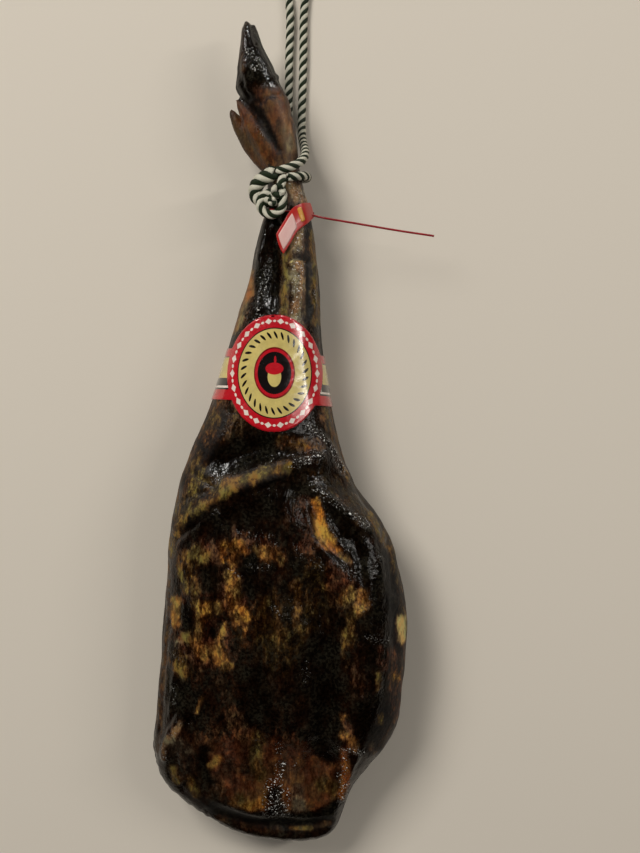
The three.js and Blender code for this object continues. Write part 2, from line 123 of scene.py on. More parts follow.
def lay_strands(points, diameter, lay):
    """Strands twisted round a smooth line: vertices, faces, each face's strand, and the line."""
    line, length = smooth_route(points, lay / RINGS_A_TURN)
    along, side, other = carried_frames(line)
    strand = diameter / (1 + math.sqrt(2))
    reach = (diameter - strand) / 2
    count = len(line)
    turns = np.linspace(0, length / lay, count) * 2 * math.pi
    verts, faces, numbers = [], [], []
    round_about = np.linspace(0, 2 * math.pi, STRAND_SIDES, endpoint=False)
    for number in range(STRANDS):
        angle = turns + number * 2 * math.pi / STRANDS
        out = side * np.cos(angle)[:, None] + other * np.sin(angle)[:, None]
        centre = line + out * reach
        way = np.gradient(centre, axis=0)
        way /= np.linalg.norm(way, axis=1)[:, None]
        across = np.cross(way, out)
        across /= np.linalg.norm(across, axis=1)[:, None]
        start = len(verts)
        for i in range(count):
            for a in round_about:
                deep = STRAND_HALF_DEPTH * math.cos(a) * out[i]
                wide = STRAND_HALF_WIDTH * math.sin(a) * across[i]
                verts.append(centre[i] + strand * (deep + wide))
        for i in range(count - 1):
            for j in range(STRAND_SIDES):
                a = start + i * STRAND_SIDES + j
                b = start + i * STRAND_SIDES + (j + 1) % STRAND_SIDES
                faces.append((a, b, b + STRAND_SIDES, a + STRAND_SIDES))
                numbers.append(number)
        for ring, order in ((0, -1), (count - 1, 1)):
            cap = [start + ring * STRAND_SIDES + j for j in range(STRAND_SIDES)]
            faces.append(tuple(cap[::order]))
            numbers.append(number)
    return verts, faces, numbers, line


def mesh_piece(name, verts, faces, materials, numbers=None):
    """A new object in the scene; the numbers say which material each face has."""
    mesh = bpy.data.meshes.new(name)
    mesh.from_pydata([tuple(v) for v in verts], [], faces)
    for material in materials:
        mesh.materials.append(material)
    if numbers is not None:
        mesh.polygons.foreach_set("material_index", numbers)
    mesh.polygons.foreach_set("use_smooth", [True] * len(mesh.polygons))
    mesh.update()
    piece = bpy.data.objects.new(name, mesh)
    bpy.context.scene.collection.objects.link(piece)
    return piece


def plain_material(name, colour, roughness):
    """A new material, its node tree and its shader."""
    material = bpy.data.materials.new(name)
    material.use_nodes = True
    tree = material.node_tree
    shader = tree.nodes["Principled BSDF"]
    shader.inputs["Base Color"].default_value = (*colour, 1)
    shader.inputs["Roughness"].default_value = roughness
    return material, tree, shader


def node(tree, kind, values=None, **settings):
    """A new node; each value goes into the socket of its name, as a number or as a link."""
    made = tree.nodes.new("ShaderNode" + kind)
    for key, value in settings.items():
        setattr(made, key, value)
    for socket, value in (values or {}).items():
        target = made.inputs[socket]
        if isinstance(value, bpy.types.NodeSocket):
            tree.links.new(value, target)
        else:
            target.default_value = value
    return made


def two_tone_material(name, dark, light, roughness, cloud_scale, grain_scale, strength, depth):
    """A colour that drifts in clouds from a darker to a lighter one, on a finely grained surface."""
    material, tree, shader = plain_material(name, light, roughness)
    place = node(tree, "TexCoord").outputs["Object"]
    cloud = node(tree, "TexNoise", {"Vector": place, "Scale": cloud_scale, "Detail": 3.0})
    mixed = node(tree, "Mix", {"Factor": cloud.outputs["Fac"]}, data_type="RGBA")
    mixed.inputs["A"].default_value = (*dark, 1)
    mixed.inputs["B"].default_value = (*light, 1)
    tree.links.new(mixed.outputs["Result"], shader.inputs["Base Color"])
    grain = node(tree, "TexNoise", {"Vector": place, "Scale": grain_scale, "Detail": 2.0})
    bump = node(tree, "Bump", {
        "Height": grain.outputs["Fac"], "Strength": strength, "Distance": depth,
    })
    tree.links.new(bump.outputs["Normal"], shader.inputs["Normal"])
    return material, shader


def strand_fibre(name, colour, shade, roughness):
    """Drawn synthetic fibre: fine threads along the strand, a little darker in clouds."""
    material, shader = two_tone_material(name, shade, colour, roughness, 160.0, 900.0, 0.5, 0.0004)
    shader.inputs["Specular IOR Level"].default_value = 0.12
    return material


green_strand = strand_fibre("green_strand", (0.024, 0.036, 0.017), (0.01, 0.016, 0.008), 0.55)
white_strand = strand_fibre("white_strand", (0.76, 0.73, 0.6), (0.44, 0.43, 0.34), 0.6)
verts, faces, numbers, rope_line = lay_strands(ROPE_ROUTE, ROPE_DIAMETER, ROPE_LAY)
strand_colours = [n % 2 for n in numbers]
rope = mesh_piece("rope_strands", verts, faces, [green_strand, white_strand], strand_colours)
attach(rope, "root")
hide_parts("rope")


# The knot on the front of the ankle: each end of the rope is wound once more, opened a little so
# that its strands fan out, and turned up towards the viewer in the middle of the winding.
KNOT_LAY = 0.021
# Each winding's thickness and its route.
KNOT_WINDINGS = [
    (0.0124, [
        (-0.0155, 0.2163, 0.0731), (-0.022, 0.2132, 0.0717), (-0.0282, 0.2096, 0.0685),
        (-0.0316, 0.204, 0.0648), (-0.0307, 0.198, 0.0637), (-0.026, 0.194, 0.065),
        (-0.02, 0.195, 0.0675), (-0.0145, 0.1986, 0.0695), (-0.0124, 0.2, 0.075),
        (-0.012, 0.2, 0.0805),
    ]),
    (0.0078, [
        (-0.0061, 0.2116, 0.0755), (-0.0081, 0.2105, 0.0761), (-0.0097, 0.206, 0.0764),
        (-0.0086, 0.1985, 0.0762), (-0.0082, 0.19, 0.0752), (-0.0114, 0.1835, 0.0736),
        (-0.0175, 0.1814, 0.0718), (-0.0247, 0.1844, 0.0698), (-0.0276, 0.1915, 0.069),
        (-0.024, 0.198, 0.0695), (-0.017, 0.199, 0.0705), (-0.0135, 0.1945, 0.0715),
        (-0.0166, 0.1912, 0.074), (-0.0172, 0.1912, 0.08),
    ]),
]
verts, faces, strand_colours = [], [], []
for thickness, points in KNOT_WINDINGS:
    turn_verts, turn_faces, turn_numbers, _ = lay_strands(points, thickness, KNOT_LAY)
    faces += [tuple(v + len(verts) for v in face) for face in turn_faces]
    verts += turn_verts
    strand_colours += [n % 2 for n in turn_numbers]
knot = mesh_piece("knot_strands", verts, faces, [green_strand, white_strand], strand_colours)
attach(knot, "root")
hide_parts("rope_knot")


# The ham: a cured shoulder with its skin, fat and trotter on. Months of drying have turned the
# lean and the fat's surface black and glossy with oil, and the fat shows through in golden, olive
# and rusty blotches. Its hoof is black horn, and the pastern and dewclaws are amber brown.
SKIN_VOXEL = 0.0019
FACET_SMOOTHING = 14
skin = bpy.data.objects.new("ham_skin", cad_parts["ham"].data.copy())
bpy.context.scene.collection.objects.link(skin)
remesh = skin.modifiers.new("remesh", "REMESH")
remesh.mode = "VOXEL"
remesh.voxel_size = SKIN_VOXEL
smoothing = skin.modifiers.new("smoothing", "SMOOTH")
smoothing.factor = 0.5
smoothing.iterations = FACET_SMOOTHING
ready = skin.evaluated_get(bpy.context.evaluated_depsgraph_get())
skin_mesh = bpy.data.meshes.new_from_object(ready)
skin.modifiers.clear()
skin.data = skin_mesh
skin_mesh.materials.clear()


def corner_places(mesh):
    """The places of a mesh's vertices as rows of an array."""
    places = np.empty(len(mesh.vertices) * 3)
    mesh.vertices.foreach_get("co", places)
    return places.reshape(-1, 3)


def corner_normals(mesh):
    """The directions that a mesh's vertices face, as rows of an array."""
    normals = np.empty(len(mesh.vertices) * 3)
    mesh.vertex_normals.foreach_get("vector", normals)
    return normals.reshape(-1, 3)


def ramp(low, high, value):
    """0 below the low value, 1 above the high one, and a smooth rise between them."""
    t = np.clip((value - low) / (high - low), 0, 1)
    return t * t * (3 - 2 * t)


def from_line(points, places):
    """Distance of each place, seen from above, from a bent line; both in millimetres."""
    nearest = np.full(len(places), 1e9)
    for (ax, ay), (bx, by) in zip(points, points[1:]):
        dx, dy = bx - ax, by - ay
        t = np.clip(((places[:, 0] - ax) * dx + (places[:, 1] - ay) * dy) / (dx * dx + dy * dy), 0, 1)
        gap = np.hypot(places[:, 0] - ax - t * dx, places[:, 1] - ay - t * dy)
        nearest = np.minimum(nearest, gap)
    return nearest


def uneven(places, size, seed, stretch=(1, 1, 1)):
    """Smooth noise from -1 to 1 with lumps of the given size in millimetres."""
    scaled = places / (size * np.array(stretch)) + seed * 17.3
    return np.array([noise.noise(Vector(p)) for p in scaled])


places = corner_places(skin_mesh) * 1000
normals = corner_normals(skin_mesh)
# 1 where the skin faces up, 0 where it faces sideways; and the same, but reaching down the sides.
facing = ramp(0.0, 0.45, normals[:, 2])
ahead = ramp(-0.25, 0.15, normals[:, 2])

# Forms too fine for the solid: height in millimetres, half width, and the line that each follows.
FOLDS = [
    # Lower lip of the fat ridge.
    (0.9, 3.2, [(-99, -80), (-78, -65), (-60, -54), (-48, -47), (-28, -42), (-5, -35)]),
    (-2.2, 3.2, [(-96, -88), (-76, -71), (-58, -60), (-44, -54), (-26, -48), (-6, -42)]),
    # Crease between the flank and the black hollow.
    (-1.8, 2.2, [(-42, -1), (-52, -11), (-62, -20), (-74, -30)]),
    (1.2, 2.4, [(-46, -2), (-56, -12), (-66, -20)]),
    # Creases on the flank above the ridge.
    (-1.0, 1.8, [(-84, -34), (-74, -40), (-64, -46)]),
    (-0.9, 1.6, [(-66, 2), (-72, -14), (-78, -26)]),
    (-0.8, 1.5, [(-90, -56), (-82, -52), (-70, -49)]),
    # Strands in the hollow under the label.
    (-0.6, 2.0, [(-50, -22), (-30, -14), (-8, -6)]),
    (-0.5, 2.0, [(-48, -29), (-28, -22), (-4, -15)]),
    (0.4, 2.0, [(-46, -26), (-26, -18), (-2, -10)]),
    # The muscle's glossy end, and the fold over it.
    (1.8, 3.5, [(2, -25), (12, -23), (22, -20)]),
    (-2.0, 2.4, [(-4, -19), (8, -17), (18, -13), (24, -16)]),
    (1.2, 2.4, [(-4, -9), (8, -9), (18, -12), (25, -20)]),
    # The elbow's two edges.
    (1.8, 2.2, [(13, 6), (22, 0), (30, -9), (38, -23), (46, -36)]),
    (-1.8, 2.4, [(18, 2), (27, -6), (33, -15), (42, -33)]),
    (-1.3, 2.0, [(24, 8), (34, -8), (44, -26), (54, -44)]),
    (2.0, 2.6, [(16, -44), (26, -51), (36, -58), (46, -68), (57, -79)]),
    (-1.6, 3.0, [(22, -54), (32, -63), (42, -73), (52, -84)]),
    # The cut where fat shows as an orange streak.
    (-2.6, 3.6, [(17, -58), (19, -70), (23, -84), (31, -94), (44, -106)]),
    (1.8, 2.4, [(24, -58), (27, -72), (32, -83), (40, -92), (49, -101)]),
    (1.0, 2.4, [(12, -62), (14, -78), (20, -92), (30, -101)]),
    # Edge of the lobe and its dents.
    (-2.2, 4.0, [(50, -88), (56, -104), (58, -122), (56, -140)]),
    (1.8, 5.0, [(66, -96), (71, -108), (72, -118)]),
    (-1.6, 2.5, [(80, -92), (82, -112), (84, -134)]),
    (-1.5, 3.5, [(57, -160), (60, -190), (57, -215)]),
    (-1.2, 2.0, [(86, -150), (84, -166), (85, -182)]),
    # The valley's strands.
    (-1.8, 4.5, [(24, -135), (29, -170), (31, -205), (28, -240), (24, -262)]),
    (0.9, 3.6, [(12, -160), (17, -195), (15, -235), (10, -256)]),
    (-0.7, 2.6, [(4, -190), (7, -222), (3, -246)]),
    (0.5, 2.2, [(-6, -205), (-8, -225), (-14, -240)]),
    (-0.5, 2.2, [(-14, -208), (-18, -226), (-25, -240)]),
    (0.6, 3.0, [(36, -175), (38, -200), (36, -225)]),
    (-0.6, 3.0, [(-35, -205), (-42, -230), (-52, -252)]),
    (0.6, 2.6, [(-24, -196), (-14, -184), (-6, -168)]),
    # The blade end's upper edge and its ragged strands.
    (-0.7, 3.4, [(-60, -246), (-38, -243), (-16, -247), (6, -252), (24, -262), (36, -260)]),
    (0.6, 3.0, [(-58, -254), (-38, -251), (-16, -254), (6, -260), (22, -270)]),
    (1.2, 1.8, [(-16, -258), (-11, -275), (-13, -295), (-16, -314)]),
    (-1.0, 1.8, [(-3, -262), (-2, -285), (0, -305), (2, -320)]),
    (-1.2, 2.0, [(-30, -258), (-34, -280), (-38, -302)]),
    (-1.4, 2.2, [(-77, -282), (-70, -293), (-60, -300), (-52, -302)]),
    (1.2, 2.2, [(-50, -262), (-56, -276), (-66, -284)]),
    (1.6, 3.0, [(26, -285), (24, -300), (16, -314)]),
    (-1.8, 3.0, [(32, -272), (33, -290), (29, -308)]),
    # The right lip, folded over on itself.
    (2.0, 2.6, [(38, -258), (48, -262), (54, -270), (49, -282), (44, -296), (42, -310)]),
    (-1.8, 2.2, [(36, -266), (44, -272), (40, -288), (38, -304)]),
    # The lower rim: a crease inside it, and the rim itself.
    (-0.7, 3.8, [(-68, -318), (-52, -324), (-34, -328), (-10, -331), (12, -332), (28, -330)]),
    (1.0, 2.0, [
        (-100, -288), (-86, -303), (-66, -323), (-40, -335), (-8, -338), (16, -338), (32, -333),
    ]),
    # The left fold and rim.
    (2.2, 3.2, [(-94, -238), (-101, -250), (-108, -262), (-108, -274)]),
    (-2.0, 3.0, [(-86, -240), (-92, -252), (-99, -266), (-98, -280)]),
    (-1.8, 2.2, [(-104, -158), (-108, -190), (-111, -225), (-112, -252)]),
    (1.2, 2.0, [(-97, -196), (-101, -215), (-103, -236)]),
    # The shank: groove, tendon and the crease across it.
    (-3.0, 3.6, [(-15, 176), (-16, 150), (-16, 120), (-16, 92)]),
    (1.6, 3.0, [(-27, 150), (-25, 128), (-28, 104), (-30, 92)]),
    (1.6, 2.6, [(-6, 160), (-6, 130), (-7, 95)]),
    (-1.3, 1.6, [(-2, 138), (-2, 116), (-4, 95)]),
    (1.8, 3.6, [(5, 138), (5, 118), (3, 95)]),
    (-1.4, 1.8, [(12, 142), (13, 120), (13, 95)]),
    (1.0, 1.6, [(17, 140), (18, 116), (18, 95)]),
    (-1.6, 1.6, [(-2, 143), (4, 144), (11, 142)]),
    (1.5, 1.5, [(-1, 140), (5, 141), (10, 140)]),
    (1.6, 4.0, [(5, 168), (5, 152)]),
    # The foot: coronet, the lines on the hoof, the grooves between claws and dewclaws.
    (1.2, 2.0, [(-14, 301), (-23, 293), (-30, 286), (-35, 278)]),
    (-1.2, 1.8, [(-17, 297), (-26, 289), (-33, 281)]),
    (-1.2, 1.5, [(-45, 316), (-46, 303), (-42, 290), (-36, 280)]),
    (-1.4, 1.4, [(-35, 352), (-34, 340), (-31, 326)]),
    (-2.2, 2.6, [(-33, 270), (-26, 258), (-18, 246), (-12, 236)]),
    (-1.2, 1.6, [(-14, 283), (-22, 281), (-28, 276)]),
    (-1.0, 1.5, [(-48, 272), (-40, 254), (-30, 238)]),
    (-0.8, 1.4, [(-2, 268), (-4, 252), (-6, 236)]),
    (0.9, 1.6, [(-8, 214), (-2, 205), (4, 198)]),
    (-0.8, 1.6, [(-3, 216), (3, 208), (8, 202)]),
]
# How far a fold strays from its line, in millimetres.
WANDER = 1.6
rise = np.zeros(len(places))
wander = uneven(places, 9, 1.0) * WANDER
for height, width, points in FOLDS:
    gap = from_line(points, places) + wander
    rise += height * np.exp(-((gap / width) ** 2))
rise *= facing

# 1 under the label and on the foot, 0 elsewhere.
under_label = ramp(-6, 2, places[:, 1]) * (1 - ramp(96, 102, places[:, 1]))
on_foot = ramp(215, 240, places[:, 1])
# Where the grease stands in fine beads that glint: how thickly, half the width of the place in
# millimetres, and the line that it follows.
GLINTS = [
    (1, 4, [(-12, -260), (-11, -266)]),
    (1.2, 5, [(-10, -278), (-12, -292)]),
    (1.3, 9, [(-16, -298), (-18, -318)]),
    (1, 5, [(-6, -302), (-7, -322)]),
    (0.62, 4, [(0, -280), (5, -275)]),
    (1, 3, [(38, -262), (48, -264), (58, -268)]),
    (1, 4, [(42, -270), (44, -282)]),
    (1.2, 5, [(40, -288), (44, -298), (42, -312)]),
    (1, 5, [(0, -27), (12, -24), (22, -20)]),
    (1, 4, [(12, 6), (24, -2), (34, -16), (42, -32)]),
    (1, 4, [(16, -44), (30, -55), (46, -66), (62, -77)]),
    (0.62, 3, [(25, -60), (29, -72), (32, -82)]),
    (0.62, 3.5, [(34, -84), (44, -98)]),
    (0.62, 3, [(23, -102), (25, -108)]),
    (0.62, 3, [(-64, -64), (-60, -66)]),
    (0.62, 4, [(-44, -81), (-36, -83)]),
    (0.62, 5, [(-30, -84), (-18, -85), (-12, -92)]),
    (0.62, 4, [(-52, -112), (-44, -118)]),
    (0.62, 5, [(-36, -110), (-20, -111)]),
    (0.62, 5, [(2, -92), (10, -104), (24, -112)]),
    (0.62, 5, [(40, -112), (54, -118)]),
    (0.62, 4, [(68, -98), (74, -106)]),
    (0.62, 6, [(-14, -144), (-8, -150)]),
    (0.62, 5, [(60, -168), (74, -172), (80, -172)]),
    (0.62, 4, [(12, -190), (10, -205)]),
    (0.62, 5, [(-68, -28), (-62, -26)]),
    (0.62, 4, [(-98, -186), (-92, -190)]),
    (0.62, 4, [(-100, -212), (-99, -226)]),
    (0.62, 4, [(-94, -242), (-100, -254)]),
    (0.62, 3, [(-86, -242), (-84, -244)]),
    (0.62, 4, [(-108, -262), (-106, -274)]),
    (1, 6, [(4, 138), (4, 118), (2, 94)]),
    (1, 5, [(6, 170), (4, 152)]),
    (1, 4, [(-22, 134), (-26, 112), (-29, 96)]),
    (0.62, 3, [(18, 122), (18, 108)]),
    (1, 6, [(-38, 318), (-31, 306)]),
    (1, 6, [(-2, 208), (6, 200)]),
    (0.62, 3, [(-30, 256), (-26, 248)]),
]
# Where it is dry: the fat ridge, both flanks, the crease inside the lower rim, the tendon and the
# foot. Half the width of the place, and the line that it follows.
DRY = [
    (9, [(-96, -76), (-60, -50), (-30, -38), (-8, -32)]),
    (14, [(-66, 10), (-84, -40)]),
    (12, [(84, -104), (90, -150), (88, -220), (70, -262)]),
    (7, [(-86, -306), (-60, -322), (-30, -332), (10, -335), (30, -330)]),
    (12, [(8, 180), (8, 100)]),
    (22, [(-10, 226), (-26, 268)]),
]
# A few beads stand everywhere.
SCATTERED_BEADS = 0.12
grain = SCATTERED_BEADS + SCATTERED_BEADS * uneven(places, 15, 7.0)
for amount, width, points in GLINTS:
    grain = np.maximum(grain, amount * np.exp(-((from_line(points, places) / width) ** 2)) * ahead)
grain = np.clip(grain, 0, 1)
# Skin that faces sideways is dry too, and skin under beads of grease is not.
dry = 1 - ramp(0.2, 0.5, normals[:, 2])
for width, points in DRY:
    dry = np.maximum(dry, np.exp(-((from_line(points, places) / width) ** 4)))
dry *= 1 - np.clip(1.4 * grain - 0.3, 0, 1)
# Lumps of the meat, strands that run along the leg and small knobs, in millimetres.
lumps = uneven(places, 24, 2.0)
strands = uneven(places, 7, 3.0, (0.8, 2.6, 1.0)) * 0.4
knobs = uneven(places, 4.2, 4.0, (1, 1.4, 1)) * (0.12 + 0.4 * grain)
roughened = (lumps + strands + knobs) * (1 - 0.8 * under_label) * (1 - 0.85 * on_foot)
# The ragged lower edge, where the skin was trimmed.
TRIMMED_EDGE = [
    (-114, -268), (-106, -292), (-86, -312), (-66, -326), (-40, -337), (-8, -342), (18, -341),
]
TRIMMED_WIDTH = 7
RAGGED_DEPTH = 2.2
trimmed = np.exp(-((from_line(TRIMMED_EDGE, places) / TRIMMED_WIDTH) ** 2))
ragged = uneven(places, 7, 9.0, (1, 1, 3)) + 0.7 * uneven(places, 3.2, 10.0, (1, 1, 3))
ragged *= RAGGED_DEPTH * trimmed * (1 - ramp(0.2, 0.7, normals[:, 2]))
moved = places + normals * (rise * (1 - under_label) + roughened + ragged)[:, None]
# The coronet swells a little over the pastern's right side.
CORONET_HEIGHT = 286
CORONET_WIDTH = 11
CORONET_SWELL = 3.2
swell = CORONET_SWELL * np.exp(-(((places[:, 1] - CORONET_HEIGHT) / CORONET_WIDTH) ** 2))
swell *= ramp(0.3, 0.9, normals[:, 0])
moved[:, 0] += swell * ramp(-24, -14, places[:, 0])
moved[:, 2] = np.maximum(moved[:, 2], 0.0)
skin_mesh.vertices.foreach_set("co", (moved / 1000).ravel())
skin_mesh.update()


def tint(red, green, blue):
    """A screen colour from 0 to 255 as the shader's own numbers."""
    shares = np.array([red, green, blue]) / 255
    return np.where(shares <= 0.04045, shares / 12.92, ((shares + 0.055) / 1.055) ** 2.4)


BLACK = tint(42, 34, 21)
BROWN = tint(72, 50, 29)
OLIVE = tint(104, 84, 38)
GOLD = tint(140, 106, 50)
ORANGE = tint(164, 116, 44)
RUST = tint(86, 52, 31)
PALE = tint(180, 158, 104)
AMBER = tint(78, 44, 22)
GREY = tint(100, 86, 66)
HORN = tint(90, 54, 23)
SINEW = tint(138, 120, 96)
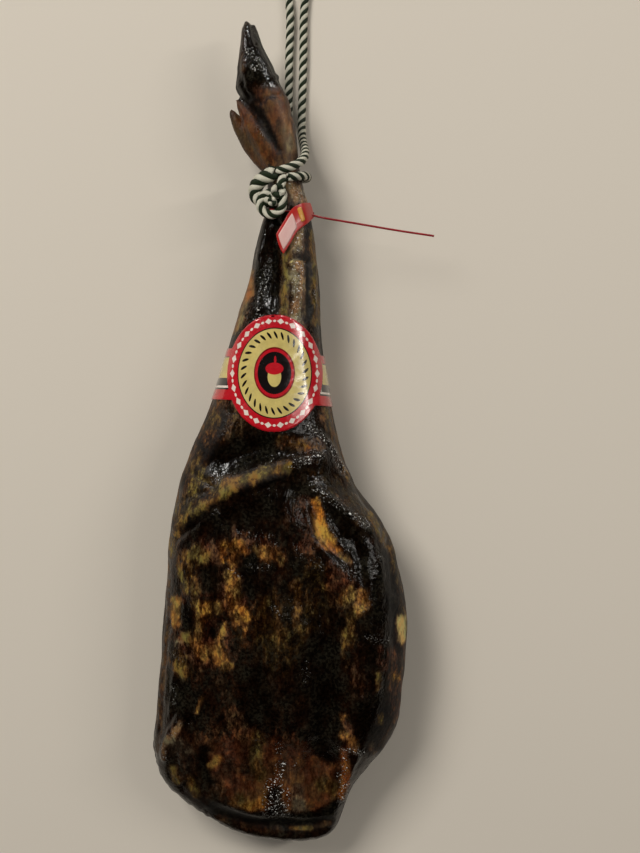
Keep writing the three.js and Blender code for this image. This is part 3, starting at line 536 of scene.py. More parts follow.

# Where the fat, the meat and the horn show, and some painted sheen and painted highlights: their
# colour, how much of the black crust they break through, half the patch's width, and the line that it
# follows.
PATCHES = [
    # Thin skin on the edges.
    (tint(98, 74, 38), 0.84, 6, [(-64, 24), (-80, -10), (-92, -45), (-101, -75)]),
    (tint(104, 76, 36), 0.86, 5, [(-105, -90), (-109, -130), (-111, -170), (-112, -200)]),
    (tint(92, 72, 40), 0.82, 6, [(66, -72), (84, -100), (94, -130), (96, -165)]),
    (tint(84, 58, 30), 0.78, 6, [(96, -178), (93, -215), (87, -240), (78, -262)]),
    # Flanks of the shank and above the ridge.
    (tint(86, 60, 28), 0.74, 26, [(-62, 20), (-74, -14), (-88, -52)]),
    (OLIVE, 0.66, 7, [(-80, -38), (-70, -36), (-62, -44)]),
    (OLIVE, 0.6, 5, [(-96, -70), (-88, -58), (-80, -48)]),
    (BLACK, 0.05, 13, [(-60, -24), (-40, -18), (-20, -12), (0, -4)]),
    (tint(104, 68, 24), 0.82, 6, [(-8, -8), (6, -9), (16, -12), (23, -20)]),
    (tint(100, 74, 38), 0.86, 9, [(33, 14), (42, -12), (52, -36), (60, -52)]),
    # Painted sheen: grey on the glossy end of the muscle.
    (GREY, 0.3, 5, [(0, -25), (12, -22), (22, -20)]),
    # The fat ridge.
    (OLIVE, 1.0, 4.0, [(-99, -84), (-90, -75), (-78, -65), (-60, -54), (-48, -46)]),
    (OLIVE, 1.02, 6.0, [(-52, -43), (-34, -38), (-18, -32), (-4, -29)]),
    (OLIVE, 0.6, 4, [(-96, -82), (-98, -100)]),
    # Below the ridge.
    (BLACK, 0.12, 11, [(-78, -82), (-50, -70), (-24, -62), (4, -54)]),
    (BROWN, 0.5, 4, [(-52, -74), (-50, -82)]),
    (OLIVE, 0.3, 10, [(26, -36), (42, -50), (60, -68)]),
    (BLACK, 0.12, 8, [(36, -66), (46, -84), (56, -100)]),
    (RUST, 0.5, 9, [(4, -62), (8, -84), (16, -100), (32, -112)]),
    (AMBER, 0.7, 8, [(17, -62), (16, -80), (22, -98)]),
    (ORANGE, 0.98, 3.2, [(19, -57), (20, -64)]),
    (ORANGE, 1.0, 4.4, [(21, -66), (23, -78)]),
    (ORANGE, 1.06, 6.6, [(25, -82), (30, -91)]),
    (ORANGE, 1.0, 4.0, [(34, -95), (39, -99)]),
    (OLIVE, 1.0, 3.2, [(40, -100), (47, -107)]),
    # A painted shadow below the lower-left edge of the orange streak.
    (BLACK, 0.02, 3.4, [(24, -101), (34, -104), (40, -109)]),
    # Right flank.
    (OLIVE, 0.85, 4, [(60, -66), (74, -84), (84, -104), (86, -116)]),
    (BLACK, 0.3, 15, [(70, -112), (74, -150), (68, -180)]),
    (BLACK, 0.14, 14, [(66, -212), (64, -240)]),
    (PALE, 1.15, 4.6, [(91, -158), (91, -173)]),
    (RUST, 0.62, 5, [(74, -182), (77, -196)]),
    (RUST, 0.72, 6, [(83, -186), (86, -206), (86, -214)]),
    (ORANGE, 0.75, 3, [(86, -202), (87, -209)]),
    (OLIVE, 0.98, 3.6, [(71, -200), (71, -212)]),
    (OLIVE, 0.85, 3.0, [(73, -235), (72, -242)]),
    (AMBER, 0.8, 4, [(88, -218), (84, -236)]),
    (GREY, 0.8, 3.0, [(66, -262), (68, -270)]),
    # Blotches between valley and lobe.
    (RUST, 0.62, 11, [(26, -114), (38, -122), (46, -130)]),
    (BROWN, 0.55, 8, [(34, -136), (44, -142)]),
    (GOLD, 0.8, 5.2, [(41, -137), (50, -131), (58, -134), (59, -141), (53, -147)]),
    (GOLD, 0.95, 3.6, [(53, -144), (52, -149)]),
    (BLACK, 0.05, 4, [(41, -157), (44, -161)]),
    (OLIVE, 0.8, 3.4, [(49, -150), (48, -160)]),
    (OLIVE, 0.82, 5.4, [(45, -165), (46, -175), (46, -187)]),
    (BROWN, 0.42, 8, [(50, -186), (56, -206), (60, -214)]),
    (GOLD, 0.95, 4.2, [(36, -236), (42, -236)]),
    (RUST, 0.8, 3.6, [(44, -240), (46, -248)]),
    (GOLD, 0.95, 3.6, [(40, -250), (43, -252)]),
    (GOLD, 0.82, 4.0, [(49, -256), (51, -262)]),
    # The middle.
    (OLIVE, 0.4, 13, [(12, -120), (10, -156), (-4, -170)]),
    (BLACK, 0.12, 14, [(24, -180), (26, -220), (24, -250)]),
    (OLIVE, 0.42, 11, [(-22, -140), (-20, -160), (-12, -186)]),
    (BLACK, 0.24, 14, [(-30, -205), (-26, -230), (-40, -238)]),
    (BROWN, 0.45, 8, [(-52, -214), (-50, -232), (-48, -240)]),
    # Fat blotches of the left side, from the top down.
    (RUST, 0.5, 20, [(-72, -106), (-74, -180)]),
    (RUST, 0.48, 14, [(-46, -98), (-46, -150)]),
    (RUST, 0.66, 8, [(-58, -94), (-46, -92), (-36, -96)]),
    (ORANGE, 0.66, 3.8, [(-54, -93), (-54, -104)]),
    (ORANGE, 0.86, 4, [(-45, -90), (-38, -98)]),
    (GOLD, 0.84, 3.8, [(-48, -98), (-48, -108)]),
    (RUST, 0.6, 6, [(-32, -91), (-14, -92)]),
    (GOLD, 0.82, 6, [(-30, -99), (-22, -100), (-12, -102)]),
    (OLIVE, 0.9, 6.6, [(-86, -102), (-80, -99), (-74, -102)]),
    (OLIVE, 0.7, 5, [(-84, -112), (-80, -130)]),
    (OLIVE, 0.88, 3.6, [(-94, -112), (-92, -124), (-89, -134)]),
    (BLACK, 0.26, 6.5, [(-66, -116), (-67, -128)]),
    (GOLD, 0.76, 5.2, [(-50, -116), (-48, -132), (-47, -146)]),
    (BLACK, 0.04, 5, [(-34, -104), (-34, -112)]),
    (BLACK, 0.16, 6, [(-34, -116), (-33, -130)]),
    (RUST, 0.5, 3, [(-94, -138), (-84, -139)]),
    (GOLD, 1.05, 5.4, [(-97, -141), (-98, -158)]),
    (BLACK, 0.1, 5.5, [(-86, -149), (-85, -163)]),
    (GOLD, 0.82, 4.4, [(-79, -142), (-76, -158), (-78, -172)]),
    (ORANGE, 0.72, 4.2, [(-70, -141), (-70, -156)]),
    (GOLD, 0.92, 4.0, [(-62, -141), (-60, -146)]),
    (RUST, 0.66, 8, [(-66, -158), (-60, -168), (-68, -170)]),
    (BLACK, 0.05, 3, [(-65, -163), (-64, -167)]),
    (GOLD, 0.7, 2.6, [(-55, -158), (-60, -169)]),
    (ORANGE, 0.96, 4.6, [(-40, -147), (-38, -152)]),
    (GOLD, 0.8, 3.0, [(-47, -146), (-46, -160)]),
    (GOLD, 0.74, 3.8, [(-41, -162), (-41, -174)]),
    (GREY, 0.7, 2.0, [(-43, -178), (-50, -192)]),
    (OLIVE, 1.0, 5, [(-87, -170), (-82, -174)]),
    (GOLD, 0.86, 4.6, [(-79, -176), (-73, -184)]),
    (GOLD, 1.0, 7, [(-62, -178), (-60, -186)]),
    (OLIVE, 0.85, 3.6, [(-56, -194), (-51, -192)]),
    (OLIVE, 0.8, 7, [(-96, -188), (-90, -200)]),
    # Painted sheen: a small grey glossy spot.
    (GREY, 0.8, 2.6, [(-94, -175), (-95, -178)]),
    (BROWN, 0.5, 8, [(-74, -204), (-64, -208)]),
    (BLACK, 0.16, 9, [(-96, -212), (-92, -232)]),
    (GOLD, 0.86, 1.9, [(-75, -220), (-77, -227), (-80, -232)]),
    (BROWN, 0.85, 3.4, [(-106, -130), (-108, -170), (-110, -200), (-114, -240), (-115, -270)]),
    # Painted sheen: grey streaks and a patch on the glossy left fold.
    (GREY, 0.55, 8, [(-94, -262), (-88, -276)]),
    (GREY, 0.98, 2.2, [(-104, -256), (-107, -264), (-108, -274)]),
    (GREY, 0.98, 2.2, [(-92, -240), (-96, -248), (-102, -258)]),
    # The blade end: dark amber, in faint bands that run down it.
    (tint(88, 50, 22), 0.92, 24, [(-58, -272), (-30, -272), (0, -276), (18, -290)]),
    (tint(92, 56, 24), 0.96, 16, [(-44, -298), (-10, -306), (22, -304)]),
    (RUST, 0.85, 5, [(-52, -258), (-54, -276), (-50, -296)]),
    (OLIVE, 0.72, 5, [(-29, -252), (-31, -272), (-28, -288)]),
    (AMBER, 0.72, 3, [(-40, -262), (-40, -284)]),
    (RUST, 0.85, 5, [(-4, -258), (-2, -282)]),
    (BLACK, 0.3, 5, [(-74, -266), (-76, -284), (-68, -292)]),
    (GOLD, 0.92, 3.2, [(-69, -279), (-62, -272)]),
    (RUST, 0.9, 6, [(-62, -287), (-54, -292)]),
    (OLIVE, 0.84, 5, [(-50, -314), (-44, -309)]),
    (ORANGE, 0.82, 4.4, [(-38, -315), (-24, -312)]),
    (BLACK, 0.55, 6, [(-14, -304), (-14, -320)]),
    # Painted sheen: grey on the smooth part of the blade end.
    (GREY, 0.8, 5, [(3, -302), (5, -320)]),
    (OLIVE, 0.8, 6, [(26, -296), (34, -302)]),
    (tint(126, 78, 36), 0.92, 4.5, [(42, -264), (44, -284), (42, -306)]),
    (BLACK, 0.16, 8, [(24, -258), (30, -270)]),
    (BLACK, 0.12, 6, [(-66, -318), (-40, -326), (-8, -328), (22, -328), (36, -318)]),
    # The lower rim.
    (OLIVE, 1.0, 3.8, [(-101, -284), (-98, -294)]),
    (OLIVE, 0.72, 4, [(-86, -292), (-82, -306)]),
    (BROWN, 0.7, 3, [(-62, -328), (-38, -336), (-12, -338)]),
    (OLIVE, 0.95, 2.2, [(-2, -337), (14, -337)]),
    (BROWN, 0.9, 3, [(20, -335), (30, -332)]),
    # The shank.
    (BROWN, 0.8, 24, [(-6, 180), (-6, 100)]),
    (tint(116, 94, 64), 1.08, 7, [(-28, 168), (-34, 140), (-40, 116), (-50, 88)]),
    (tint(124, 80, 42), 1.12, 4, [(-33, 130), (-36, 112)]),
    (BLACK, 0.2, 6, [(-26, 170), (-28, 145), (-26, 118), (-30, 94)]),
    (BLACK, 0.0, 5, [(-17, 178), (-17, 130), (-17, 90)]),
    (OLIVE, 0.95, 3, [(-7, 158), (-6, 128), (-7, 92)]),
    (SINEW, 1.12, 5.5, [(4, 140), (5, 116), (3, 92)]),
    # A painted highlight: a pale line along the crease across the tendon.
    (PALE, 1.0, 1.4, [(-1, 141), (5, 142), (10, 141)]),
    (SINEW, 1.06, 5, [(5, 176), (4, 152)]),
    (BLACK, 0.35, 1.5, [(12, 140), (13, 118), (14, 94)]),
    (OLIVE, 0.98, 3.8, [(17, 168), (18, 150), (19, 120), (21, 92)]),
    (SINEW, 1.12, 9, [(-6, 210), (5, 198)]),
    # The foot.
    (tint(74, 48, 27), 1.08, 14, [(-6, 226), (-10, 250), (-16, 276)]),
    # A painted highlight: a lighter band down the right side of the pastern.
    (tint(112, 88, 62), 1.1, 4.5, [(-2, 240), (-5, 262), (-9, 276)]),
    (HORN, 1.1, 7, [(-10, 277), (-20, 283), (-29, 288)]),
    (BLACK, 0.35, 3.4, [(-14, 236), (-20, 250), (-30, 270)]),
    (HORN, 1.04, 9, [(-22, 232), (-34, 250), (-48, 276)]),
    (BROWN, 1.08, 5, [(-30, 226), (-42, 246), (-52, 268)]),
    (RUST, 0.75, 1.6, [(-16, 281), (-23, 279), (-28, 274)]),
    (BLACK, 0.12, 15, [(-34, 302), (-34, 318), (-36, 350)]),
    (GREY, 0.5, 4, [(-44, 306), (-44, 330), (-41, 346)]),
    (BLACK, 0.2, 6, [(-44, 290), (-38, 282)]),
]
# Where no patch lies the skin is brown, and the crust lets a little of it through.
PLAIN_SHOWING = 0.3
tone = np.tile(BROWN, (len(places), 1))
cover = np.full(len(places), PLAIN_SHOWING)
frayed = uneven(places, 12, 5.0) * 2.6 + uneven(places, 5, 6.0, (1, 1.4, 1)) * 2.4
for colour, showing, width, points in PATCHES:
    gap = from_line(points, places) + frayed * min(1, width / 8)
    # A patch that covers its place has a torn edge, and one that only mottles it fades out.
    torn = ramp(1.5, 0.45, gap / width)
    faded = ramp(1.8, 0.4, gap / width)
    sure = abs(showing - 0.5) * 2
    share = (torn * min(sure, 1) + faded * (1 - min(sure, 1))) * ahead
    tone += (colour - tone) * share[:, None]
    cover += (showing - cover) * share


def keep_values(mesh, name, values):
    """Numbers or colours kept with a mesh's vertices, for its material to read."""
    kind = "FLOAT_COLOR" if values.ndim == 2 else "FLOAT"
    layer = mesh.attributes.new(name, kind, "POINT")
    if values.ndim == 2:
        layer.data.foreach_set("color", np.hstack([values, np.ones((len(values), 1))]).ravel())
    else:
        layer.data.foreach_set("value", values)


# The glaze is thin where much shows through, and most uneven where about half does.
glaze = 1.0 - 0.92 * cover
mottle = 0.3 + 0.7 * np.clip(1.4 - 2.6 * np.abs(cover - 0.6), 0, 1)
at_blade_end = 1 - ramp(-262, -250, places[:, 1])
mottle *= 1 - 0.35 * np.maximum(at_blade_end, on_foot)
glaze += 0.03 * at_blade_end
skin_values = {"tone": tone, "glaze": glaze, "mottle": mottle, "grain": grain, "dry": dry}
for name, values in skin_values.items():
    keep_values(skin_mesh, name, values)

cured, tree, shader = plain_material("cured_skin", (0.02, 0.015, 0.01), 0.33)
place = node(tree, "TexCoord").outputs["Object"]


def kept_value(name, output="Fac"):
    """What keep_values kept under this name, in the tree of the material being made."""
    return node(tree, "Attribute", attribute_name=name).outputs[output]


def vector_sum(operation, a, b):
    """Two vectors added, subtracted or multiplied, in the tree of the material being made."""
    return node(tree, "VectorMath", {0: a, 1: b}, operation=operation).outputs[0]


def speckle(vector, scale, detail, roughness=0.55, distortion=0.0):
    """Noise from 0 to 1."""
    return node(tree, "TexNoise", {
        "Vector": vector, "Scale": scale, "Detail": detail, "Roughness": roughness,
        "Distortion": distortion,
    }).outputs["Fac"]


def arithmetic(operation, *values):
    """A number worked out from others."""
    return node(tree, "Math", dict(enumerate(values)), operation=operation).outputs[0]


def spread(value, low, high, to_low=0.0, to_high=1.0):
    """The range from low to high spread smoothly over another range."""
    return node(tree, "MapRange", {
        "Value": value, "From Min": low, "From Max": high, "To Min": to_low, "To Max": to_high,
    }, interpolation_type="SMOOTHSTEP").outputs["Result"]


def blended(share, a, b, blend_type="MIX"):
    """Colour b over colour a, by its share."""
    values = {"Factor": share}
    for name, colour in (("A", a), ("B", b)):
        values[name] = colour if isinstance(colour, bpy.types.NodeSocket) else (*colour, 1)
    return node(tree, "Mix", values, data_type="RGBA", blend_type=blend_type).outputs["Result"]


tone_here = kept_value("tone", "Color")
glaze_here = kept_value("glaze")
mottle_here = kept_value("mottle")
grain_here = kept_value("grain")
dry_here = kept_value("dry")

# How much of each colour comes through a glaze of depth 1: blue and green less than red.
GLAZE = (0.02, 0.012, 0.016)
COOL_SHADE = (0.9, 1.06, 1.0)
WARM_SHADE = (1.14, 0.84, 0.62)
# A thin bloom of mould and salt and a painted sheen lie on the crust, in some places browner and
# darker.
DARK_BLOOM_AND_SHEEN = (0.0026, 0.0012, 0.0005)
PALE_BLOOM_AND_SHEEN = (0.009, 0.008, 0.0052)
# Painted glints and pale flecks of fat and salt lie among the beads of grease.
GLINT_AND_FLECK_COLOUR = (0.74, 0.73, 0.69)
DRIFT = 0.011
DRY_ROUGHNESS = 0.62
RELIEF_DEPTH = 0.0016
SHINE = 0.26
# The crust is a dark glaze over the fat: the deeper it lies, the darker and redder the tone is
# seen. It is thin in torn flakes and flecks that run along the leg.
along_leg = vector_sum("MULTIPLY", place, (1.0, 0.5, 1.0))
drift = node(tree, "TexNoise", {"Vector": place, "Scale": 130.0, "Detail": 3.0}).outputs["Color"]
drift = vector_sum("SUBTRACT", drift, (0.5, 0.5, 0.5))
drift = vector_sum("MULTIPLY", drift, (DRIFT, DRIFT, DRIFT))
bent = vector_sum("ADD", along_leg, drift)
flakes = node(tree, "TexVoronoi", {"Vector": bent, "Scale": 190.0}, feature="SMOOTH_F1")
flakes.inputs["Smoothness"].default_value = 0.35
luck = node(tree, "SeparateColor", {"Color": flakes.outputs["Color"]}).outputs
blotches = speckle(along_leg, 90.0, 4.0, 0.6, 0.5)
flecks = speckle(along_leg, 290.0, 3.0, 0.6, 0.4)
grit = speckle(along_leg, 700.0, 3.0, 0.6)
uneven_glaze = 0.0
for spots, strength in ((blotches, 2.0), (flecks, 2.0), (luck[0], 0.5), (grit, 1.1)):
    spots = arithmetic("SUBTRACT", spots, 0.5)
    uneven_glaze = arithmetic("MULTIPLY_ADD", spots, strength, uneven_glaze)
glaze = arithmetic("MULTIPLY_ADD", uneven_glaze, mottle_here, glaze_here)
glaze = arithmetic("MAXIMUM", glaze, -0.1)
seen = node(tree, "Gamma", {"Color": (*GLAZE, 1), "Gamma": glaze}).outputs["Color"]
warm = spread(speckle(along_leg, 110.0, 3.0), 0.35, 0.65)
shade = blended(warm, COOL_SHADE, WARM_SHADE)
surface = blended(1.0, tone_here, shade, "MULTIPLY")
surface = blended(1.0, surface, seen, "MULTIPLY")
# Painted sheen: a patchy pale veil added to the colour of the crust.
bloom_and_sheen = spread(speckle(along_leg, 70.0, 4.0, 0.6), 0.4, 0.66)
bloom_and_sheen = blended(bloom_and_sheen, DARK_BLOOM_AND_SHEEN, PALE_BLOOM_AND_SHEEN)
grainy = spread(speckle(place, 400.0, 2.0), 0.42, 0.62, 0.3, 1.6)
bloom_and_sheen = blended(1.0, bloom_and_sheen, grainy, "MULTIPLY")
surface = blended(1.0, surface, bloom_and_sheen, "ADD")
# Painted glints: pale specks painted where the beads of grease are thickest.
glint_and_fleck = spread(speckle(place, 560.0, 2.0, 0.6), 0.6, 0.67)
glint_and_fleck = arithmetic("MULTIPLY", glint_and_fleck, spread(grain_here, 0.4, 1.0))
surface = blended(glint_and_fleck, surface, GLINT_AND_FLECK_COLOUR)
tree.links.new(surface, shader.inputs["Base Color"])
greasy = spread(speckle(place, 120.0, 3.0), 0.3, 0.7, 0.13, 0.2)
matt = spread(glaze, 0.1, 0.6, 0.52, 0.0)
rough = arithmetic("MULTIPLY", matt, spread(grain_here, 0.3, 0.6, 1.0, 0.4))
rough = arithmetic("MAXIMUM", rough, greasy)
rough = arithmetic("MAXIMUM", rough, arithmetic("MULTIPLY", dry_here, DRY_ROUGHNESS))
tree.links.new(rough, shader.inputs["Roughness"])
# Beads of grease: small domes that each catch the light.
bead_place = vector_sum("MULTIPLY", place, (1.0, 0.8, 1.0))
beads = node(tree, "TexVoronoi", {"Vector": bead_place, "Scale": 430.0}, feature="F1")
domes = arithmetic("MULTIPLY", beads.outputs["Distance"], beads.outputs["Distance"])
beaded = arithmetic("MULTIPLY", grain_here, spread(speckle(place, 210.0, 2.0), 0.4, 0.6, 0.15, 1.0))
pores = speckle(place, 330.0, 3.0, 0.5)
relief = arithmetic("MULTIPLY", pores, 0.22)
relief = arithmetic("MULTIPLY_ADD", arithmetic("MULTIPLY", domes, beaded), -1.0, relief)
relief = arithmetic("MULTIPLY_ADD", glaze, -0.12, relief)
bump = node(tree, "Bump", {"Height": relief, "Strength": 1.0, "Distance": RELIEF_DEPTH})
tree.links.new(bump.outputs["Normal"], shader.inputs["Normal"])
shader.inputs["Specular IOR Level"].default_value = SHINE
skin_mesh.materials.append(cured)
skin_mesh.polygons.foreach_set("use_smooth", [True] * len(skin_mesh.polygons))
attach(skin, "root")
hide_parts("ham")


# The label: a die-cut band of varnished card, an oval on the front of the shank with a strap that
# runs round behind it. It is printed in red, black and gold, with a plain acorn in the middle.
# Sizes and places of the label and the seal are in millimetres, and thicknesses in metres.
LABEL_CENTRE = (-15.0, 48.5)
LABEL_AXIS_HEIGHT = 50.0
OVAL_HALF = (40.0, 49.0)
STRAP_HALF = 21.5
STRAP_DROP = 3.0
STRAP_TILT = -0.07
LABEL_COLUMNS = 300
LABEL_ROWS = 44
CARD_THICKNESS = 0.0006
CARD_CLEARANCE = 1.1
EVENED_ROUND = 24
EVENED_ALONG = 20
# The ring value, 1 on the oval's edge, that the card behind the shank is given.
OUTSIDE = 9.0
skin_tree = BVHTree.FromPolygons(
    [Vector(v) for v in moved], [tuple(p.vertices) for p in skin_mesh.polygons])
label_angles = np.linspace(0, 2 * math.pi, LABEL_COLUMNS, endpoint=False)
label_heights = np.linspace(-8, 106, 58)


def skin_reach(angles, heights):
    """How far the skin stands from an axis inside the shank, for each angle and height."""
    reach = np.zeros((len(angles), len(heights)))
    for i, angle in enumerate(angles):
        out = Vector((math.cos(angle), 0, math.sin(angle)))
        for j, height in enumerate(heights):
            far = Vector((LABEL_CENTRE[0], height, LABEL_AXIS_HEIGHT)) + out * 200
            hit = skin_tree.ray_cast(far, -out)[0]
            reach[i, j] = (hit - far).length if hit else 0
    return 200 - reach


def stiffened(reach, times_round, times_along):
    """Card doesn't follow small dents: the reach is evened out round and along the shank."""
    for _ in range(times_round):
        reach = (np.roll(reach, 1, axis=0) + 2 * reach + np.roll(reach, -1, axis=0)) / 4
    for _ in range(times_along):
        padded_reach = np.pad(reach, ((0, 0), (1, 1)), mode="edge")
        reach = (padded_reach[:, :-2] + 2 * reach + padded_reach[:, 2:]) / 4
    return reach


reach_table = stiffened(skin_reach(label_angles, label_heights), EVENED_ROUND, EVENED_ALONG)
reach_table += CARD_CLEARANCE


def card_place(column, height):
    """Where the card is at one of its columns and a height along the shank."""
    angle = label_angles[column]
    far = np.interp(height, label_heights, reach_table[column])
    return LABEL_CENTRE[0] + far * math.cos(angle), height, LABEL_AXIS_HEIGHT + far * math.sin(angle)


half_x, half_y = OVAL_HALF
verts, ring_values, across_values, up_values = [], [], [], []
for i, angle in enumerate(label_angles):
    on_front = math.sin(angle) > 0
    steps = np.linspace(0, half_y, 99)
    reached = []
    for sign in (1, -1):
        inside = 0.0
        for step in steps:
            x = card_place(i, LABEL_CENTRE[1] + sign * step)[0]
            if on_front and ((x - LABEL_CENTRE[0]) / half_x) ** 2 + (step / half_y) ** 2 <= 1:
                inside = step
        reached.append(inside)
    x_middle = card_place(i, LABEL_CENTRE[1])[0]
    middle = LABEL_CENTRE[1] - STRAP_DROP + STRAP_TILT * (x_middle - LABEL_CENTRE[0])
    upper = max(LABEL_CENTRE[1] + reached[0], middle + STRAP_HALF)
    lower = min(LABEL_CENTRE[1] - reached[1], middle - STRAP_HALF)
    for height in np.linspace(lower, upper, LABEL_ROWS + 1):
        x, y, z = card_place(i, height)
        verts.append((x / 1000, y / 1000, z / 1000))
        across, up = x - LABEL_CENTRE[0], y - LABEL_CENTRE[1]
        ring_values.append(math.hypot(across / half_x, up / half_y) if on_front else OUTSIDE)
        across_values.append(across)
        up_values.append(up if ring_values[-1] <= 1.0 else y - middle)
faces = []
row = LABEL_ROWS + 1
for i in range(LABEL_COLUMNS):
    for j in range(LABEL_ROWS):
        a = i * row + j
        b = (i + 1) % LABEL_COLUMNS * row + j
        faces.append((a, a + 1, b + 1, b))

printed, tree, shader = plain_material("printed_card", (0.5, 0.02, 0.03), 0.24)
ring = kept_value("ring")
across = kept_value("across")
up = kept_value("up")


def between(value, low, high, soft):
    """1 where the value lies between low and high, 0 elsewhere, with a short soft edge."""
    rising = spread(value, low - soft, low + soft)
    falling = spread(value, high - soft, high + soft, 1.0, 0.0)
    return arithmetic("MULTIPLY", rising, falling)


def oval_reach(x, y, centre, half):
    """How far a place is from an oval's middle: 1 on its edge."""
    dx = arithmetic("DIVIDE", arithmetic("SUBTRACT", x, centre[0]), half[0])
    dy = arithmetic("DIVIDE", arithmetic("SUBTRACT", y, centre[1]), half[1])
    squares = arithmetic("ADD", arithmetic("MULTIPLY", dx, dx), arithmetic("MULTIPLY", dy, dy))
    return arithmetic("SQRT", squares)


def repeated(count, shift):
    """Place in one of a number of equal parts round the oval, from -0.5 to 0.5."""
    rising = arithmetic("DIVIDE", up, OVAL_HALF[1])
    turn = arithmetic("ARCTAN2", rising, arithmetic("DIVIDE", across, OVAL_HALF[0]))
    parts = arithmetic("MULTIPLY_ADD", turn, count / (2 * math.pi), shift + count)
    return arithmetic("SUBTRACT", arithmetic("FRACT", parts), 0.5)


# The rings are shares of the oval's reach. Beads, diamonds and leaves are as wide as a share of
# their part of the ring, and the shapes in the middle are in millimetres.
BEAD_RING = 0.885
LEAF_RING = 0.645
BLACK_RING = 0.772
GOLD_RING = 0.752
RED_INK = tint(196, 22, 36)
DARK_RED = tint(120, 10, 20)
BLACK_INK = tint(24, 18, 18)
GOLD_INK = tint(214, 194, 116)
WHITE_INK = tint(240, 226, 214)
beads = repeated(22, 0.0)
diamonds = repeated(22, 0.5)
bead = oval_reach(beads, ring, (0.0, BEAD_RING), (0.13, 0.021))
wide = arithmetic("DIVIDE", arithmetic("ABSOLUTE", diamonds), 0.3)
high = arithmetic("ABSOLUTE", arithmetic("SUBTRACT", ring, BEAD_RING))
diamond = arithmetic("ADD", wide, arithmetic("DIVIDE", high, 0.05))
leaves = repeated(30, 0.2)
slanted = arithmetic("MULTIPLY_ADD", arithmetic("SUBTRACT", ring, LEAF_RING), -4.2, leaves)
leaf = oval_reach(slanted, ring, (0.0, LEAF_RING), (0.2, 0.062))
shield = oval_reach(across, up, (0.0, 0.0), (17.0, 21.5))
nut = oval_reach(across, up, (0.0, -3.2), (5.6, 8.4))
cup = oval_reach(across, up, (0.0, 3.6), (7.4, 5.0))
stalk = oval_reach(across, up, (0.6, 10.6), (1.0, 3.6))
# Each is printed over those before it: its measure, up to where, how soft its edge is, its ink.
PRINTS = [
    (diamond, 1.0, 0.12, WHITE_INK),
    (bead, 1.0, 0.12, WHITE_INK),
    (ring, BLACK_RING, 0.003, BLACK_INK),
    (ring, GOLD_RING, 0.003, GOLD_INK),
    (leaf, 1.0, 0.1, BLACK_INK),
    (shield, 1.0, 0.01, DARK_RED),
    (shield, 0.94, 0.01, RED_INK),
    (shield, 0.82, 0.01, BLACK_INK),
    (nut, 1.0, 0.03, GOLD_INK),
    (cup, 1.0, 0.03, RED_INK),
    (stalk, 1.0, 0.05, RED_INK),
]
colour = RED_INK
for measure, edge, soft, ink in PRINTS:
    colour = blended(between(measure, -1.0, edge, soft), colour, ink)
# Bands that run along the strap: from and to where across it, and the ink.
STRAP_BANDS = [
    (-13.0, 14.6, BLACK_INK), (-11.6, -9.8, WHITE_INK), (1.0, 13.8, GOLD_INK),
    (-8.6, -3.4, BLACK_INK), (-3.4, 1.0, GOLD_INK),
]
strap = RED_INK
for low, high, ink in STRAP_BANDS:
    strap = blended(between(up, low, high, 0.1), strap, ink)
colour = blended(between(ring, 1.0, 20.0, 0.002), colour, strap)
place = node(tree, "TexCoord").outputs["Object"]
scuffs = spread(speckle(place, 130.0, 5.0, 0.65), 0.35, 0.7, 1.0, 0.82)
colour = blended(1.0, colour, scuffs, "MULTIPLY")
tree.links.new(colour, shader.inputs["Base Color"])
tree.links.new(spread(speckle(place, 60.0, 4.0), 0.3, 0.7, 0.16, 0.3), shader.inputs["Roughness"])
ripple = node(tree, "Bump", {
    "Height": speckle(place, 75.0, 2.0), "Strength": 0.35, "Distance": 0.002,
})
tree.links.new(ripple.outputs["Normal"], shader.inputs["Normal"])
shader.inputs["Coat Weight"].default_value = 1.0
shader.inputs["Coat Roughness"].default_value = 0.12
label = mesh_piece("label_card", verts, faces, [printed])
keep_values(label.data, "ring", np.array(ring_values))
keep_values(label.data, "across", np.array(across_values))
keep_values(label.data, "up", np.array(up_values))
card = label.modifiers.new("card", "SOLIDIFY")
card.thickness = CARD_THICKNESS
card.offset = -1
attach(label, "root")
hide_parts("label")


# The seal: a flag moulded in one with its tie, in clear red plastic. The flag lies on the front of
# the ankle under the knot, with a pale printed panel, and the tie's tail sticks out to the right.
FLAG_EDGES = [
    ((-14.8, 163.4, 79.0), (-8.3, 145.7, 78.5)),
    ((-8.0, 174.0, 78.5), (-2.0, 156.5, 77.5)),
    ((-0.7, 185.5, 76.5), (4.2, 167.3, 76.0)),
    ((7.0, 190.5, 73.0), (12.0, 174.0, 71.5)),
    ((14.5, 193.5, 61.0), (17.5, 180.5, 60.0)),
]
FLAG_THICKNESS = 0.0014
FLAG_ROWS = 40
FLAG_COLUMNS = 16
FLAG_BOW = 0.9
# The tie goes round the ankle, a little aslant, and stands off the skin. Angles are in degrees.
TIE_RADIUS = 0.9
TIE_START = (16.8, 184.5, 60.6)
TIE_AXIS = (-6, 50)
TIE_HEIGHT = 185
TIE_SLANT = 2
TIE_CLEARANCE = 1.9
TIE_ANGLES = np.linspace(8, -292, 19)
TAIL_POINTS = [
    (9, 181, 72), (15.5, 182.2, 64), (25, 181, 58), (51, 177, 55), (89, 171, 52), (119.8, 166.7, 50),
]

flag_left = smooth_route([edges[0] for edges in FLAG_EDGES], 0.5)[0]
flag_right = smooth_route([edges[1] for edges in FLAG_EDGES], 0.5)[0]


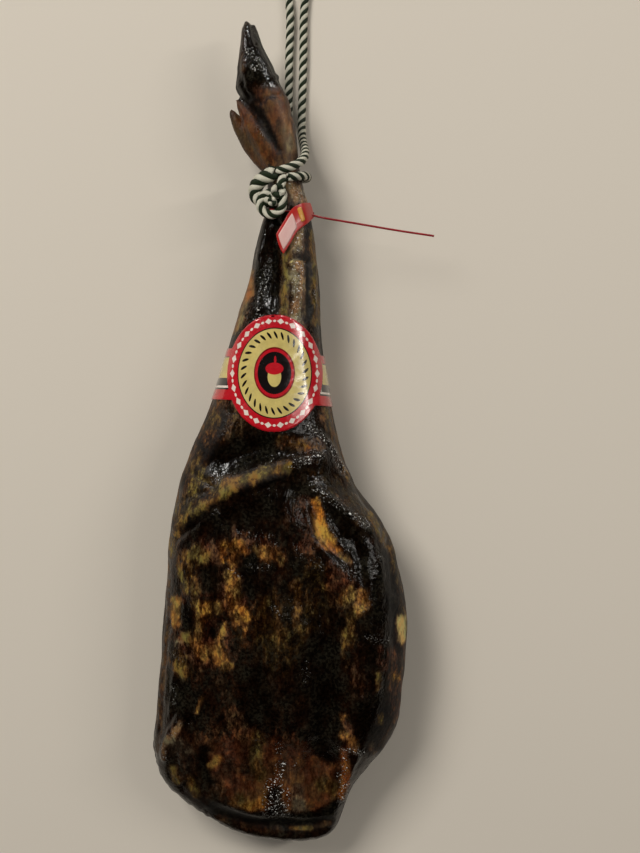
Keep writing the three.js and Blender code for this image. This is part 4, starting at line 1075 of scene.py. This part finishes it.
def on_flag(along, across, lift=0.0):
    """A place on the flag: along from its low end, across from its left edge, both 0 to 1."""
    def spot(a, b):
        left = [np.interp(a, np.linspace(0, 1, len(flag_left)), flag_left[:, k]) for k in range(3)]
        right = [np.interp(a, np.linspace(0, 1, len(flag_right)), flag_right[:, k]) for k in range(3)]
        bowed = FLAG_BOW * math.sin(math.pi * b)
        return np.array(left) * (1 - b) + np.array(right) * b + np.array((0, 0, bowed))
    here = spot(along, across)
    up_way = spot(min(along + 0.01, 1), across) - spot(max(along - 0.01, 0), across)
    side_way = spot(along, min(across + 0.01, 1)) - spot(along, max(across - 0.01, 0))
    out = np.cross(side_way, up_way)
    return (here + out / np.linalg.norm(out) * lift) / 1000


def flag_patch(low, high, left, right, rows, columns, corner, lift):
    """A grid of places on the flag between the given limits, with its corners rounded."""
    grid = []
    for i in range(rows + 1):
        for j in range(columns + 1):
            a, b = 2 * i / rows - 1, 2 * j / columns - 1
            squeeze = 1 - corner * (a * a * b * b)
            along = (low + high) / 2 + (high - low) / 2 * a * squeeze
            across = (left + right) / 2 + (right - left) / 2 * b * squeeze
            grid.append(on_flag(along, across, lift))
    quads = []
    for i in range(rows):
        for j in range(columns):
            a = i * (columns + 1) + j
            quads.append((a, a + 1, a + columns + 2, a + columns + 1))
    return grid, quads


def clear_plastic(name, colour, light, roughness):
    """Moulded plastic, a little cloudy and with fine grain."""
    return two_tone_material(name, colour, light, roughness, 180.0, 500.0, 0.2, 0.0005)


red_plastic, shader = clear_plastic("red_plastic", tint(168, 26, 26), tint(204, 48, 40), 0.28)
shader.inputs["Transmission Weight"].default_value = 0.12
shader.inputs["Coat Weight"].default_value = 0.15
pale_print = clear_plastic("pale_print", tint(216, 168, 162), tint(230, 192, 184), 0.4)[0]
yellow_plastic = clear_plastic("yellow_plastic", tint(196, 130, 40), tint(220, 160, 60), 0.3)[0]

verts, faces = flag_patch(0, 1, 0, 1, FLAG_ROWS, FLAG_COLUMNS, 0.06, 0)
flag = mesh_piece("seal_flag", verts, faces, [red_plastic])
plate = flag.modifiers.new("plate", "SOLIDIFY")
plate.thickness = FLAG_THICKNESS
plate.offset = 0
soften = flag.modifiers.new("soften", "BEVEL")
soften.width = 0.0004
soften.segments = 2

verts, faces = flag_patch(0.05, 0.5, 0.16, 0.86, 16, 12, 0.05, 0.85)
panel = mesh_piece("seal_panel", verts, faces, [pale_print])
panel.modifiers.new("print", "SOLIDIFY").thickness = 0.0003
verts, faces = flag_patch(0.6, 0.68, 0.14, 0.8, 4, 12, 0.1, 1.3)
bar = mesh_piece("seal_bar", verts, faces, [yellow_plastic])
bar.modifiers.new("bar", "SOLIDIFY").thickness = 0.0009


def round_bar(points, radius, sides):
    """Vertices and faces of a closed round bar along an even line, in millimetres."""
    line, _ = smooth_route(points, 1.5)
    _, side, other = carried_frames(line)
    verts, faces = [], []
    for i in range(len(line)):
        for j in range(sides):
            a = 2 * math.pi * j / sides
            verts.append((line[i] + radius * (side[i] * math.cos(a) + other[i] * math.sin(a))) / 1000)
    for i in range(len(line) - 1):
        for j in range(sides):
            a, b = i * sides + j, i * sides + (j + 1) % sides
            faces.append((a, b, b + sides, a + sides))
    last = (len(line) - 1) * sides
    faces.append(tuple(range(sides))[::-1])
    faces.append(tuple(last + j for j in range(sides)))
    return verts, faces


tie_points = [TIE_START]
for degrees in TIE_ANGLES:
    angle = math.radians(degrees)
    height = TIE_HEIGHT - TIE_SLANT * math.cos(angle)
    out = Vector((math.cos(angle), 0, math.sin(angle)))
    far = Vector((TIE_AXIS[0], height, TIE_AXIS[1])) + out * 100
    hit = skin_tree.ray_cast(far, -out)[0]
    tie_points.append(tuple(hit + out * TIE_CLEARANCE))
verts, faces = round_bar(tie_points + TAIL_POINTS, TIE_RADIUS, 10)
tie_plastic = clear_plastic("tie_plastic", tint(120, 16, 24), tint(170, 30, 36), 0.32)[0]
tie = mesh_piece("seal_tie", verts, faces, [tie_plastic])
for piece in (flag, panel, bar, tie):
    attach(piece, "root")
    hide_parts("seal")


# The floor is a plain pale surface. The light is soft and mostly from the upper left, with a strip
# on the right that picks out the grease on the ham and the varnish on the label.
FLOOR_HALF = 3.0
FLOOR_COLOUR = (0.73, 0.67, 0.58)
AMBIENT_COLOUR = (1.0, 0.97, 0.93, 1)
AMBIENT_STRENGTH = 0.16
# Small lights that only glint on the grease: place and watts.
SPARK_SIZE = (0.08, 0.08)
SPARKS = [((-1.6, 1.7, 1.0), 18), ((0.1, 2.4, 0.95), 14), ((1.4, 1.6, 0.95), 18)]
paint, _, paint_shader = plain_material("pale_paint", FLOOR_COLOUR, 0.8)
paint_shader.inputs["Specular IOR Level"].default_value = 0.2
floor = mesh_piece(
    "floor",
    [(-FLOOR_HALF, -FLOOR_HALF, 0), (FLOOR_HALF, -FLOOR_HALF, 0),
     (FLOOR_HALF, FLOOR_HALF, 0), (-FLOOR_HALF, FLOOR_HALF, 0)],
    [(0, 1, 2, 3)], [paint])

world = bpy.data.worlds.new("studio")
world.use_nodes = True
world.node_tree.nodes["Background"].inputs["Color"].default_value = AMBIENT_COLOUR
world.node_tree.nodes["Background"].inputs["Strength"].default_value = AMBIENT_STRENGTH
world.cycles_visibility.glossy = False
bpy.context.scene.world = world
bpy.context.scene.view_settings.view_transform = "Standard"


def area_light(name, place, target, size, watts, colour):
    data = bpy.data.lights.new(name, "AREA")
    data.shape = "RECTANGLE"
    data.size, data.size_y = size
    data.energy = watts
    data.color = colour
    lamp = bpy.data.objects.new(name, data)
    lamp.location = place
    lamp.rotation_euler = (Vector(target) - Vector(place)).to_track_quat("-Z", "Y").to_euler()
    bpy.context.scene.collection.objects.link(lamp)
    return lamp


key = area_light("key", place=(-1.3, 1.5, 2.4), target=(0, 0.05, 0), size=(1.2, 1.2), watts=60,
                 colour=(1.0, 0.97, 0.92))
key.visible_glossy = False
area_light("strip", place=(1.3, 0.45, 1.6), target=(0, 0, 0), size=(0.08, 1.1), watts=8,
           colour=(1.0, 0.96, 0.9))
for place, watts in SPARKS:
    spark = area_light("spark", place, (0, 0, 0), SPARK_SIZE, watts, (1.0, 0.98, 0.95))
    spark.visible_diffuse = False
